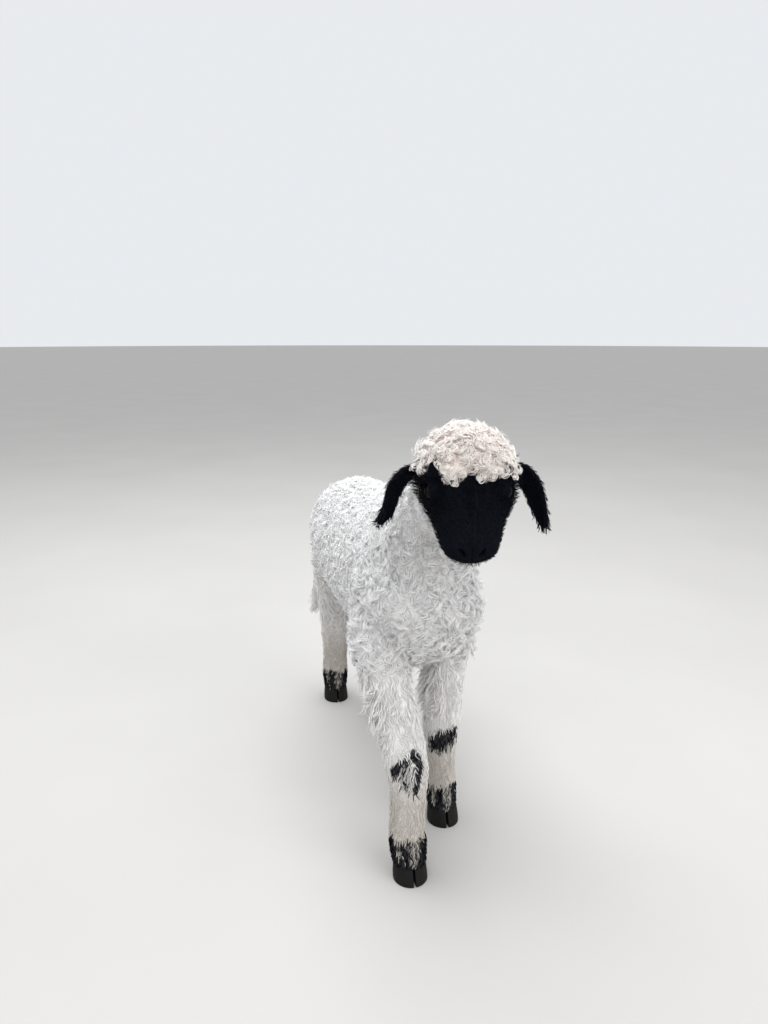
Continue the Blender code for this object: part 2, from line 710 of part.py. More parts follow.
def make_body(collection):
    """The trunk, neck, head, legs, tail and wool fused into one closed body."""
    inset = FLEECE_DEPTH * (1 - CORE_SHARE)
    pieces = new_collection("fused")
    body = loft("body", trunk_rings(inset, 1), collection)
    loft("neck", neck_rings(inset, 1), pieces)
    loft("head", head_rings(), pieces)
    loft("topknot", topknot_rings(TOPKNOT_DEPTH * CORE_SHARE), pieces)
    loft("tail", tail_rings(TAIL_WOOL_DEPTH * (1 - CORE_SHARE)), pieces)
    for name in LEG_SECTIONS:
        loft(name, leg_rings(name, inset), pieces)
        add_dewclaws(name, pieces)
    for side in SIDES.values():
        eye_ball(side, EYE_RADIUS + LID_THICKNESS, "lids", pieces)
    upper_lip = muzzle_line(MOUTH_HEIGHT + 1.15 * LIP_RADIUS, -0.35 * LIP_RADIUS)
    lower_lip = muzzle_line(MOUTH_HEIGHT - 1.25 * LIP_RADIUS, -0.55 * LIP_RADIUS)
    tube("upper_lip", upper_lip, LIP_RADIUS, pieces)
    tube("lower_lip", lower_lip, LIP_RADIUS, pieces)
    if CORE_SHARE < 1:
        add_clumps(coat_lofts(), pieces)
    fuse(body, "UNION", pieces)
    empty_collection(pieces)
    return body


def cut_face(body, cutters):
    """Cuts the eye sockets, the openings of the lids, the nostrils, the line of the mouth and the roots of
    the ears."""
    tube("mouth", muzzle_line(MOUTH_HEIGHT, 0.5 * MOUTH_RADIUS), MOUTH_RADIUS, cutters)
    for side in SIDES.values():
        nose, left, brow = NOSTRIL_PLACE
        slant = (LEFTWARD * side * 0.85 + BROWWARD * 0.5).normalized()
        inward = (-NOSEWARD * 0.8 - LEFTWARD * side * 0.35).normalized()
        deep = (inward - slant * inward.dot(slant)).normalized()
        ball("nostril", in_head(nose, left * side, brow), NOSTRIL_RADII,
             (slant, slant.cross(deep), deep), cutters, 10, 6)
        lid_opening(side, cutters)
        eye_ball(side, EYE_RADIUS + GAP, "socket", cutters)
    for name in EAR_LINES:
        loft(name + "_root", ear_rings(name, GAP), cutters)
    for cutter in list(cutters.objects):
        fuse(body, "DIFFERENCE", cutter)
        cutter.hide_render = True
        cutter.display_type = "WIRE"


WORLD_YZ = (Vector(), Y_AXIS, Z_AXIS, X_AXIS)
WORLD_XZ = (Vector(), X_AXIS, Z_AXIS, Y_AXIS)
HEAD_PLANE = (POLL, NOSEWARD, BROWWARD, LEFTWARD)

# Where each node is parted from the rest: (outline in the frame's first two axes, frame, span along its
# third)
PARTINGS = {
    "topknot": ([(-0.080, -0.046), (0.030, -0.022), (0.056, 0.0100), (0.066, 0.0125), (0.080, 0.0080),
                 (0.080, 0.080), (-0.080, 0.080)], HEAD_PLANE, (-0.10, 0.10)),
    "head": ([(0.014, 0.030), (0.052, -0.0615), (0.066, -0.0575), (0.100, -0.0450), (0.200, -0.060),
              (0.200, 0.080), (0.014, 0.080)], HEAD_PLANE, (-0.10, 0.10)),
    "neck": ([(-0.030, 0.421), (-0.200, 0.244), (-0.400, 0.244), (-0.400, 0.600), (-0.030, 0.600)],
             WORLD_YZ, (-0.15, 0.15)),
    "tail": ([(0.196, 0.400), (0.196, 0.362), (0.240, 0.300), (0.247, 0.060), (0.400, 0.060),
              (0.400, 0.400)], WORLD_YZ, (-0.12, 0.10)),
    "foreleg_right": ([(0.003, 0.190), (0.003, -0.02), (-0.120, -0.02), (-0.120, 0.190)],
                      WORLD_XZ, (-0.30, -0.055)),
    "foreleg_left": ([(0.0036, 0.190), (0.0036, -0.02), (0.120, -0.02), (0.120, 0.190)],
                     WORLD_XZ, (-0.30, -0.055)),
    "shoulder_right": ([(0.003, 0.188), (0.003, 0.170), (-0.120, 0.170), (-0.120, 0.300)],
                       WORLD_XZ, (-0.30, -0.055)),
    "shoulder_left": ([(0.0036, 0.188), (0.0036, 0.170), (0.120, 0.170), (0.120, 0.300)],
                      WORLD_XZ, (-0.30, -0.055)),
    "hindleg_right": ([(0.002, 0.190), (0.002, -0.02), (-0.120, -0.02), (-0.120, 0.190)],
                      WORLD_XZ, (0.060, 0.30)),
    "hindleg_left": ([(0.0026, 0.190), (0.0026, -0.02), (0.120, -0.02), (0.120, 0.190)],
                     WORLD_XZ, (0.060, 0.30)),
    "thigh_right": ([(0.002, 0.222), (0.002, 0.170), (-0.120, 0.170), (-0.120, 0.345)],
                    WORLD_XZ, (0.060, 0.30)),
    "thigh_left": ([(0.0026, 0.222), (0.0026, 0.170), (0.120, 0.170), (0.120, 0.345)],
                   WORLD_XZ, (0.060, 0.30)),
}


def part_nodes(body, lamb, cutters):
    """Parts the body into its nodes, each a thin gap from the next; what is left is the torso."""
    made = {}
    for name, (outline, frame, span) in PARTINGS.items():
        region = prism("region_" + name, outline, frame, span, cutters)
        clearance = prism("clearance_" + name, outline, frame, span, cutters, GAP)
        node = bpy.data.objects.new(name, body.data.copy())
        lamb.objects.link(node)
        fuse(node, "INTERSECT", region)
        fuse(body, "DIFFERENCE", clearance)
        for cutter in (region, clearance):
            cutter.hide_render = True
            cutter.display_type = "WIRE"
        made[name] = node
    body.name = body.data.name = "torso"
    made["torso"] = body
    return made


def hoof_claw(name, leg, side, collection):
    """One claw of a foot: a wedge with a flat sole, a sloping front wall and a rounded outer side."""
    x, y = LEG_SECTIONS[leg][-1][:2]
    inner = CLEFT_WIDTH / 2
    rings = []
    for height, spread, toe, heel in HOOF_SECTIONS:
        front, rear = y - HOOF_LENGTH / 2 * toe, y + HOOF_LENGTH / 2 * heel
        middle, half = (front + rear) / 2, (rear - front) / 2
        ring = []
        for i in range(12):
            angle = 2 * math.pi * i / 12
            along, across = math.cos(angle), math.sin(angle)
            if across > 0:
                bulge = HOOF_WIDTH / 2 * spread * across ** 0.75 * (1 - 0.16 * max(0.0, -along))
                reach = max(bulge, inner)
            else:
                reach = inner + 0.0009 * (1 + across)
            ring.append(Vector((x + side * reach, middle + half * along, height * (CORONET_HEIGHT - GAP))))
        rings.append(ring)
    return loft(name, rings, collection)


def finish_node(name, node, materials, stance):
    kind = name.split("_")[0]
    finish = {"eye": "eye", "hoof": "hoof_horn", "head": "black_hair", "ear": "black_hair"}.get(kind, "wool")
    node.data.materials.clear()
    node.data.materials.append(materials[finish])
    node.data.shade_smooth()
    node.data.set_sharp_from_angle(angle=math.radians(50))
    node.parent = stance


def main():
    clear_scene()
    lamb = new_collection("valais_blacknose_lamb")
    cutters = new_collection("cutters")
    materials = make_materials()
    stance = bpy.data.objects.new("stance", None)
    stance.location = STANCE_SHIFT
    lamb.objects.link(stance)
    body = make_body(lamb)
    cut_face(body, cutters)
    nodes = part_nodes(body, lamb, cutters)
    for word, side in SIDES.items():
        nodes["eye_" + word] = eye_ball(side, EYE_RADIUS, "eye_" + word, lamb)
        nodes["ear_" + word] = loft("ear_" + word, ear_rings("ear_" + word), lamb)
    for leg in LEG_SECTIONS:
        for word, side in SIDES.items():
            name = f"hoof_{leg}_{word}_claw"
            nodes[name] = hoof_claw(name, leg, side, lamb)
    for name, node in nodes.items():
        finish_node(name, node, materials, stance)


main()
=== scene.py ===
"""The looks of a Valais blacknose lamb two to three weeks old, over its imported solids.

Units are metres, +Z is up, the lamb faces -Y and its right side is -X.  One skin is modelled limb by limb,
remeshed whole and given its face.  Locks of wool and short hairs are then set on it, as joined meshes.
"""

import math

import bpy
import numpy as np
from mathutils import Matrix, Vector, kdtree, noise


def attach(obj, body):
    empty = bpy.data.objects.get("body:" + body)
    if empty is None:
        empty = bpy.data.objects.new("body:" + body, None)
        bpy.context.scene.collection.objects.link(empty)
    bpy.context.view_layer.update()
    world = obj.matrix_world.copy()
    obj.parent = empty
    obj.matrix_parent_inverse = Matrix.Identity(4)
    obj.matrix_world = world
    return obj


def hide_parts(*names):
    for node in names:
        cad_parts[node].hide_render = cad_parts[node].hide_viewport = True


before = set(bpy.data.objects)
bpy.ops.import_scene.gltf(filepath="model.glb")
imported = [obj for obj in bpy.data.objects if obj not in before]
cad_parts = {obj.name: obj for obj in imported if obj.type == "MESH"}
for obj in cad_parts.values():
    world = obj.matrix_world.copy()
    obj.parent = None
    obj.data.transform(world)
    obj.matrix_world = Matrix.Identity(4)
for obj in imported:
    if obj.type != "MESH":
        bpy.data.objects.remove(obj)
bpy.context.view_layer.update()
bpy.ops.object.select_all(action="DESELECT")

# Sizes of the lamb, the same as in the solids
STANCE_SHIFT = Vector((-0.0112, -0.0063, 0.0))
BACK_HEIGHT = 0.386
BREAST_Y = -0.180
BUTTOCK_Y = 0.226
BARREL_HALF_WIDTH = 0.078
FLEECE_DEPTH = 0.016
TOPKNOT_DEPTH = 0.011
CORE_SHARE = 0.5             # the skin lies where the solids' core does, the curls reach out from it
KNEE_HEIGHT = 0.132
HOCK_HEIGHT = 0.128
CORONET_HEIGHT = 0.020
HOOF_WIDTH = 0.038
HOOF_LENGTH = 0.040
HEAD_LENGTH = 0.132
HEAD_HALF_WIDTH = 0.0465
HEAD_PITCH = math.radians(42)
HEAD_TURN = math.radians(14.5)
POLL = Vector((0.0320, -0.186, 0.480)) + STANCE_SHIFT
EYE_RADIUS = 0.0105
LID_THICKNESS = 0.0020
EYE_GAP = 0.0003
EAR_WIDTH = 0.029
EAR_THICKNESS = 0.0032
TAIL_RADIUS = 0.0125
TAIL_WOOL_DEPTH = 0.0105
DEWCLAW_RADIUS = 0.0037
DEWCLAW_HEIGHT = 0.042
DEWCLAW_APART = 0.0085

NOSEWARD = Vector((-math.sin(HEAD_TURN) * math.cos(HEAD_PITCH),
                   -math.cos(HEAD_TURN) * math.cos(HEAD_PITCH),
                   -math.sin(HEAD_PITCH)))
LEFTWARD = Vector((math.cos(HEAD_TURN), -math.sin(HEAD_TURN), 0.0))
BROWWARD = NOSEWARD.cross(LEFTWARD).normalized()
NECK_DIRECTION = Vector((0.17, -0.43, 0.89)).normalized()
X_AXIS, Y_AXIS, Z_AXIS = Vector((1, 0, 0)), Vector((0, 1, 0)), Vector((0, 0, 1))
HEAD_LIE = Matrix((LEFTWARD, BROWWARD, NOSEWARD)).transposed()

# Trunk sections from the breast to the buttocks: (share of the length, shift to the left,
# top and bottom as shares of the back height, share of the half width)
TRUNK_SECTIONS = [
    (0.000, 0.009, 0.758, 0.692, 0.22),
    (0.018, 0.009, 0.817, 0.630, 0.55),
    (0.050, 0.0105, 0.872, 0.570, 0.82),
    (0.115, 0.0105, 0.935, 0.523, 0.98),
    (0.220, 0.0090, 0.986, 0.500, 1.02),
    (0.370, 0.004, 0.994, 0.505, 1.00),
    (0.520, 0.000, 0.990, 0.520, 1.01),
    (0.665, -0.002, 1.000, 0.549, 1.00),
    (0.790, -0.004, 1.003, 0.590, 0.96),
    (0.890, -0.005, 0.972, 0.622, 0.87),
    (0.960, -0.005, 0.905, 0.660, 0.68),
    (1.000, -0.005, 0.815, 0.726, 0.28),
]

# Neck sections from inside the breast to the skull: (centre, half depth from throat to crest, half width)
NECK_SECTIONS = [
    ((0.005, -0.084, 0.262), 0.074, 0.060),
    ((0.008, -0.096, 0.300), 0.080, 0.066),
    ((0.012, -0.109, 0.336), 0.072, 0.063),
    ((0.016, -0.123, 0.369), 0.061, 0.057),
    ((0.022, -0.135, 0.400), 0.051, 0.051),
    ((0.028, -0.147, 0.429), 0.042, 0.043),
    ((0.032, -0.158, 0.452), 0.035, 0.036),
    ((0.034, -0.168, 0.470), 0.026, 0.029),
    ((0.035, -0.174, 0.480), 0.014, 0.018),
]

# Leg sections from inside the trunk down, at the hair's tips: (x, y, height, half width, half depth)
LEG_SECTIONS = {
    "foreleg_right": [
        (-0.024, -0.098, 0.305, 0.036, 0.052),
        (-0.034, -0.108, 0.270, 0.040, 0.050),
        (-0.0410, -0.120, 0.236, 0.0415, 0.0410),
        (-0.0390, -0.145, 0.200, 0.0290, 0.0330),
        (-0.0335, -0.174, 0.162, 0.0230, 0.0260),
        (-0.0310, -0.194, KNEE_HEIGHT, 0.0270, 0.0255),
        (-0.0295, -0.202, 0.105, 0.0215, 0.0205),
        (-0.0325, -0.206, 0.072, 0.0190, 0.0190),
        (-0.0325, -0.208, 0.046, 0.0220, 0.0215),
        (-0.0315, -0.214, CORONET_HEIGHT, 0.0205, 0.0200),
    ],
    "foreleg_left": [
        (0.030, -0.092, 0.305, 0.036, 0.052),
        (0.043, -0.100, 0.270, 0.040, 0.050),
        (0.048, -0.108, 0.236, 0.036, 0.040),
        (0.041, -0.117, 0.195, 0.0265, 0.031),
        (0.035, -0.128, 0.155, 0.0225, 0.0240),
        (0.032, -0.133, KNEE_HEIGHT, 0.0235, 0.0235),
        (0.032, -0.130, 0.102, 0.0190, 0.0195),
        (0.034, -0.124, 0.070, 0.0180, 0.0185),
        (0.036, -0.121, 0.045, 0.0210, 0.0210),
        (0.037, -0.126, CORONET_HEIGHT, 0.0188, 0.0192),
    ],
    "hindleg_right": [
        (-0.024, 0.134, 0.345, 0.038, 0.060),
        (-0.034, 0.142, 0.305, 0.044, 0.063),
        (-0.037, 0.150, 0.258, 0.040, 0.054),
        (-0.033, 0.168, 0.212, 0.0325, 0.0380),
        (-0.029, 0.194, 0.165, 0.0250, 0.0285),
        (-0.026, 0.216, HOCK_HEIGHT, 0.0225, 0.0275),
        (-0.024, 0.224, 0.098, 0.0200, 0.0220),
        (-0.024, 0.229, 0.066, 0.0190, 0.0200),
        (-0.024, 0.230, 0.045, 0.0215, 0.0215),
        (-0.025, 0.224, CORONET_HEIGHT, 0.0190, 0.0195),
    ],
    "hindleg_left": [
        (0.018, 0.126, 0.345, 0.038, 0.060),
        (0.030, 0.130, 0.305, 0.044, 0.063),
        (0.036, 0.130, 0.258, 0.040, 0.054),
        (0.038, 0.134, 0.212, 0.0325, 0.0380),
        (0.040, 0.150, 0.165, 0.0250, 0.0285),
        (0.040, 0.163, HOCK_HEIGHT, 0.0225, 0.0275),
        (0.040, 0.150, 0.098, 0.0200, 0.0220),
        (0.040, 0.136, 0.066, 0.0190, 0.0200),
        (0.040, 0.129, 0.045, 0.0215, 0.0215),
        (0.040, 0.120, CORONET_HEIGHT, 0.0190, 0.0195),
    ],
}

# Head sections: (share of the head's length from the poll, dorsal height, ventral height,
# share of the half width, how far the lower half narrows to the jaw)
HEAD_SECTIONS = [
    (-0.10, -0.008, -0.038, 0.46, 0.10),
    (0.00, 0.0065, -0.054, 0.78, 0.12),
    (0.13, 0.0160, -0.060, 0.92, 0.20),
    (0.28, 0.0190, -0.062, 0.99, 0.28),
    (0.43, 0.0155, -0.058, 1.01, 0.34),
    (0.55, 0.0085, -0.052, 0.93, 0.34),
    (0.68, 0.0015, -0.045, 0.775, 0.26),
    (0.80, -0.0045, -0.041, 0.675, 0.17),
    (0.90, -0.0080, -0.039, 0.605, 0.14),
    (0.965, -0.0115, -0.0365, 0.500, 0.14),
    (1.000, -0.0175, -0.0315, 0.270, 0.10),
]
# Topknot sections: (share of the head's length, lowest height, share of its depth on top and at the sides)
TOPKNOT_SECTIONS = [
    (-0.20, -0.030, 0.20, -0.70),
    (-0.12, -0.028, 0.90, 0.40),
    (0.00, -0.024, 1.00, 0.95),
    (0.13, -0.018, 1.05, 1.20),
    (0.26, -0.010, 1.00, 1.30),
    (0.38, -0.002, 0.80, 1.10),
    (0.48, 0.005, 0.30, 0.30),
]

# Ear mid-lines in head terms: (noseward, leftward for the left ear, browward, share of the ear's width)
EAR_LINES = {
    "right": [
        (0.033, 0.0360, -0.0030, 0.45),
        (0.040, 0.0500, -0.0020, 0.58),
        (0.047, 0.0610, -0.0035, 0.70),
        (0.054, 0.0680, -0.0115, 0.72),
        (0.061, 0.0718, -0.0200, 0.64),
        (0.069, 0.0748, -0.0280, 0.64),
        (0.077, 0.0790, -0.0330, 0.76),
        (0.084, 0.0862, -0.0345, 0.38),
    ],
    "left": [
        (0.033, 0.0360, -0.0030, 0.45),
        (0.040, 0.0480, -0.0010, 0.60),
        (0.046, 0.0560, -0.0035, 0.76),
        (0.052, 0.0610, -0.0120, 0.84),
        (0.060, 0.0662, -0.0210, 0.78),
        (0.068, 0.0706, -0.0305, 0.66),
        (0.076, 0.0746, -0.0390, 0.54),
        (0.084, 0.0780, -0.0445, 0.22),
    ],
}
SIDES = {"right": -1, "left": 1}

# Tail centre line from the croup to the tip, with shares of its radius
TAIL_LINE = [
    ((-0.004, 0.190, 0.342), 0.90),
    ((-0.006, 0.222, 0.322), 1.10),
    ((-0.012, 0.248, 0.288), 1.15),
    ((-0.022, 0.262, 0.245), 1.15),
    ((-0.034, 0.270, 0.200), 1.15),
    ((-0.044, 0.273, 0.160), 1.05),
    ((-0.050, 0.273, 0.132), 0.60),
]

# Eye, nostril and mouth in head terms
EYE_PLACE = (0.065, 0.0327, -0.006)
EYE_LOOK = (0.30, 0.86, 0.38)
NOSTRIL_PLACE = (0.1275, 0.0092, -0.0165)
MOUTH_HEIGHT = -0.0300
MOUTH_CORNER_SHARE = 0.70

# Camera, at the photograph's angle: about 0.58 m up, 0.9 m ahead of the lamb and a little to its right
CAMERA_PLACE = Vector((-0.2601, -0.9239, 0.585))
CAMERA_YAW = math.radians(15.0)
CAMERA_DIP = math.radians(13.3)
CAMERA_LENS = 27.07

FLOOR_COLOURS = (0.50, 0.485, 0.465, 1), (0.56, 0.545, 0.525, 1)
SKY_COLOUR = (0.94, 0.965, 1.0, 1)
SKY_STRENGTH = 0.86

# Lights: (name, place, aim, size, power, colour)
LIGHTS = [
    ("overhead", (-0.2, 0.5, 2.3), (0, 0, 0.3), 1.8, 41, (0.96, 0.985, 1.0)),
    ("key", (-0.9, -1.8, 1.8), (0, -0.05, 0.3), 1.0, 8, (1.0, 0.98, 0.95)),
    ("front", (1.2, -2.0, 1.4), (0, -0.1, 0.25), 2.2, 26, (1.0, 0.99, 0.98)),
]

# Face openings and lips, the same as in the solids
NOSTRIL_RADII = (0.0052, 0.0021, 0.0055)     # along its slant, across it, and into the nose
LID_SLIT_SHARE = 0.86        # half the slit between the lids, as a share of the eye's radius
LID_OPEN_SHARE = 0.52        # half its height
GROOVE_DEPTH = 0.0015        # of the line of the mouth
LIP_SWELL = 0.0010

CORNEA_REACH = math.radians(38)
CORNEA_RISE = 0.055          # of the cornea's middle, as a share of the eye's radius

CLEFT_WIDTH = 0.0024
CLAW_EDGE = 0.0009           # how far its edges are rounded
CLAW_EDGE_ANGLE = math.radians(38)

# Hoof sections from the coronet to the sole: (share of the height, share of the half width,
# toe and heel as shares of half the length)
HOOF_SECTIONS = [
    (1.00, 0.90, 0.76, 0.82),
    (0.90, 0.94, 0.84, 0.86),
    (0.75, 0.96, 0.90, 0.88),
    (0.50, 0.985, 0.98, 0.87),
    (0.30, 1.00, 1.06, 0.86),
    (0.04, 1.00, 1.15, 0.84),
    (0.00, 0.99, 1.14, 0.83),
]

# How far noseward the wool of the brow hangs, from the lamb's right to its left: (leftward, noseward)
HAIRLINE = [(-0.050, 0.030), (-0.035, 0.039), (-0.028, 0.058), (-0.019, 0.0675), (-0.008, 0.0645),
            (0.0026, 0.0575), (0.013, 0.0640), (0.025, 0.0650), (0.035, 0.0550), (0.038, 0.040),
            (0.050, 0.030)]
EAR_REACH = 0.019            # how far an ear's hair and the wool over its root lie from its mid-line

# The arch of black hair on the right knee: (degrees round the leg, height, half width of the stroke)
KNEE_ARCH = [(-54, 0.1244, 0.0050), (-37, 0.1335, 0.0038), (-13, 0.1387, 0.0028), (15, 0.1420, 0.0054),
             (30, 0.1327, 0.0060), (16, 0.1184, 0.0046), (6, 0.1041, 0.0030)]
KNEE_RADIUS = 0.026          # of the leg there, for lengths round it
KNEE_SLANT = 0.00016         # how much the left knee's patch climbs for each degree round the leg

# Ovals of black and of mixed hair on the legs, and pale streaks over the hooves:
# (degrees round the leg, height, half angle, half height)
RIGHT_KNEE_MIXED = (-14, 0.1210, 30, 0.0150)
LEFT_KNEE_BLACK = (-14, 0.1228, 56, 0.0130)
LEFT_KNEE_MIXED = (-14, 0.1180, 60, 0.0160)
HOCK_BLACK = (180, HOCK_HEIGHT - 0.002, 62, 0.0150)
HOCK_MIXED = (180, HOCK_HEIGHT - 0.002, 75, 0.0190)
PALE_STREAKS = [(3, 0.0400, 18, 0.0200), (-47, 0.0430, 10, 0.0150)]
BLACK_FOOT_HEIGHT = 0.051

# Where one kind of coat gives way to the next
TAIL_COAT_FRONT = 0.234
TAIL_COAT_HEIGHTS = (0.10, 0.33)
SHANK_COAT_RISE = 0.012      # over the knee or hock
LEG_COAT_TOP = 0.215
CHEST_COAT_TOP = 0.365
CHEST_COAT_REAR = -0.085
FACE_LOWEST = 0.36

SEED = 7
TRIES = 3.5                  # places tried for a root, for each square of the spacing
SKIN_VOXEL = 0.0030
SKIN_MAP = "unwrap"
EAR_STEPS = 3
EAR_COLUMNS = 12
EAR_ROOT_CURL = math.radians(150)
EAR_LEAF_CURL = math.radians(55)
LEG_END = 0.006              # how far a leg reaches down into its hoof
HAIR_DEPTH = 0.0012          # how far the short hairs stand off the skin
PATCH = 0.003                # each tuft's patch on the unwrap
MOST_TRIANGLES = 190000      # in one piece of the coat

# How the coat grows in each place.  Locks stand so far apart, with strands inside them so far apart.  Each
# strand has its length and width, stands up at its root for a share of its length (the rise), then lies
# down at the lean and curls by a turn between two, with a wave.  Swirl is how far the heading wanders from
# the lie, and gather how far a lock closes.
STYLE_TERMS = ("locks", "strands", "length", "width", "sink", "rise", "stand", "lean", "turn",
               "wave", "waves", "swirl", "gather", "steps")
COAT_STYLES = {zone: dict(zip(STYLE_TERMS, row)) for zone, row in {
    "back": (0.0048, 0.0024, 0.015, 0.0013, 0.001, 0.40, 1.30, 0.26, (3.0, 5.6), 0.30, 1.0, 2.6, 0.52, 6),
    "chest": (0.0048, 0.0019, 0.019, 0.00105, 0.001, 0.34, 1.30, 0.22, (2.2, 4.6), 0.60, 1.2, 2.0, 0.50, 7),
    "cap": (0.0053, 0.00165, 0.0235, 0.00098, 0.001, 0.22, 1.10, 0.20, (4.0, 7.2), 0.22, 1.2, 2.3, 0.58, 11),
    "leg": (0.0048, 0.00225, 0.0155, 0.0011, 0.0007, 0.30, 0.75, 0.12, (0.0, 1.4), 0.55, 1.3, 0.65, 0.58, 6),
    "shank": (0.004, 0.0022, 0.0088, 0.00095, 0.0004, 0.35, 0.60, 0.08, (0.0, 0.7), 0.30, 1.0, 0.40, 0.50, 5),
    "tail": (0.0052, 0.0021, 0.0155, 0.0011, 0.0008, 0.30, 1.05, 0.16, (2.4, 4.8), 0.40, 1.2, 1.4, 0.55, 7),
    "face": (0.0036, 0.0016, 0.006, 0.0007, 0.0002, 0.45, 0.85, 0.26, (0.0, 0.7), 0.20, 1.0, 0.45, 0.45, 4),
    "ear": (0.0036, 0.00165, 0.0062, 0.0008, 0.0002, 0.35, 0.60, 0.18, (0.0, 1.1), 0.30, 1.0, 0.45, 0.45, 5),
}.items()}


def in_head(noseward, leftward, browward):
    """The place that lies so far from the poll along the head's own directions."""
    return POLL + NOSEWARD * noseward + LEFTWARD * leftward + BROWWARD * browward


def terms_along(points, centre, *ways):
    """How far points lie from a centre along each of the ways."""
    reach = np.asarray(points) - np.array(centre)
    return [reach @ np.array(way) for way in ways]


def head_terms(points):
    """How far points lie from the poll along the head's own directions: three arrays."""
    return terms_along(points, POLL, NOSEWARD, LEFTWARD, BROWWARD)


def skull_at(share):
    """The head section at one share of its length: dorsal and ventral heights, half width, narrowing."""
    for before, after in zip(HEAD_SECTIONS, HEAD_SECTIONS[1:]):
        if share <= after[0]:
            break
    t = min(1.0, max(0.0, (share - before[0]) / (after[0] - before[0])))
    return [p + (q - p) * t for p, q in zip(before[1:], after[1:])]


def columns(first, second, third):
    """A matrix that takes a limb's own directions to these three."""
    return Matrix((first, second, third)).transposed()


def make_active(obj):
    bpy.ops.object.select_all(action="DESELECT")
    obj.select_set(True)
    bpy.context.view_layer.objects.active = obj


def edit(obj):
    make_active(obj)
    bpy.ops.object.mode_set(mode="EDIT")


def leave_edit():
    bpy.ops.object.mode_set(mode="OBJECT")


def on_all(obj, operator, **settings):
    """Runs one operator in edit mode on the whole of a mesh."""
    edit(obj)
    bpy.ops.mesh.select_all(action="SELECT")
    operator(**settings)
    leave_edit()
    return obj


def outwards(obj):
    return on_all(obj, bpy.ops.mesh.normals_make_consistent, inside=False)


def added(name, operator, **settings):
    """A new object from one of Blender's own shapes."""
    bpy.ops.object.select_all(action="DESELECT")
    operator(**settings)
    piece = bpy.context.active_object
    piece.name = name
    return piece


def apply_modifiers(obj):
    bpy.context.view_layer.objects.active = obj
    for modifier in list(obj.modifiers):
        bpy.ops.object.modifier_apply(modifier=modifier.name)


def limb(name, sections, lie=None, smoothing=1, sides=24):
    """A closed limb drawn out from a filled circle: each section is (x, y, z, half width, half depth).

    The sections' numbers run along the columns of lie, or along the world's directions without it."""
    piece = added(name, bpy.ops.mesh.primitive_circle_add, vertices=sides, radius=1, fill_type="NGON",
                  location=(0, 0, 0))
    bpy.ops.object.mode_set(mode="EDIT")
    bpy.ops.mesh.select_all(action="SELECT")
    x, y, z, width, depth = sections[0]
    bpy.ops.transform.resize(value=(width, depth, 1), center_override=(0, 0, 0))
    bpy.ops.transform.translate(value=(x, y, z))
    for before, after in zip(sections, sections[1:]):
        step = Vector(after[:3]) - Vector(before[:3])
        bpy.ops.mesh.extrude_region_move(TRANSFORM_OT_translate={"value": step})
        growth = (after[3] / before[3], after[4] / before[4], 1)
        bpy.ops.transform.resize(value=growth, center_override=after[:3])
    leave_edit()
    outwards(piece)
    if smoothing:
        piece.modifiers.new("rounding", "SUBSURF").levels = smoothing
        apply_modifiers(piece)
    if lie:
        piece.data.transform(lie.to_4x4())
    return piece


def trunk_piece():
    inset = FLEECE_DEPTH * (1 - CORE_SHARE)
    sections = []
    for share, shift, top, bottom, width in TRUNK_SECTIONS:
        high, low = top * BACK_HEIGHT - inset, bottom * BACK_HEIGHT + inset
        y = BREAST_Y + share * (BUTTOCK_Y - BREAST_Y) + inset * (1 - 2 * share) * 0.5
        place = Vector((shift, y, 0)) + STANCE_SHIFT
        half_width, half_height = width * BARREL_HALF_WIDTH - inset, (high - low) / 2
        sections.append((place.x, (high + low) / 2, -place.y, half_width, half_height))
    return limb("trunk", sections, columns(X_AXIS, Z_AXIS, -Y_AXIS))


def neck_piece():
    inset = FLEECE_DEPTH * (1 - CORE_SHARE)
    lie = columns(X_AXIS, NECK_DIRECTION.cross(X_AXIS).normalized(), NECK_DIRECTION)
    back = lie.inverted()
    sections = []
    for centre, depth, width in NECK_SECTIONS:
        place = back @ (Vector(centre) + STANCE_SHIFT)
        sections.append((place.x, place.y, place.z, width - inset, depth - inset))
    return limb("neck", sections, lie)


def leg_piece(name):
    joint = KNEE_HEIGHT if name.startswith("fore") else HOCK_HEIGHT
    sections = []
    for x, y, z, width, depth in LEG_SECTIONS[name]:
        wool = FLEECE_DEPTH * (1 - CORE_SHARE) * min(1.0, max(0.0, (z - joint - 0.02) / 0.10)) + HAIR_DEPTH
        place = Vector((x, y, z)) + STANCE_SHIFT
        sections.append((place.x, place.y, place.z, width - wool, depth - wool))
    x, y, z, width, depth = sections[-1]
    sections.append((x, y, z - LEG_END, width * 0.9, depth * 0.9))
    return limb(name, sections)


def head_piece():
    sections = []
    back = HEAD_LIE.inverted() @ POLL
    for share, high, low, width, narrowing in HEAD_SECTIONS:
        sections.append((back.x, back.y + (high + low) / 2, back.z + share * HEAD_LENGTH,
                         width * HEAD_HALF_WIDTH, (high - low) / 2))
    head = limb("head", sections, HEAD_LIE, 2)
    for vertex in head.data.vertices:
        nose, left, brow = (float(value) for value in head_terms(vertex.co))
        high, low, width, narrowing = skull_at(nose / HEAD_LENGTH)
        middle = (high + low) / 2
        down = min(1.0, max(0.0, (middle - brow) / (middle - low)))
        vertex.co -= LEFTWARD * (left * narrowing * down)
    return head


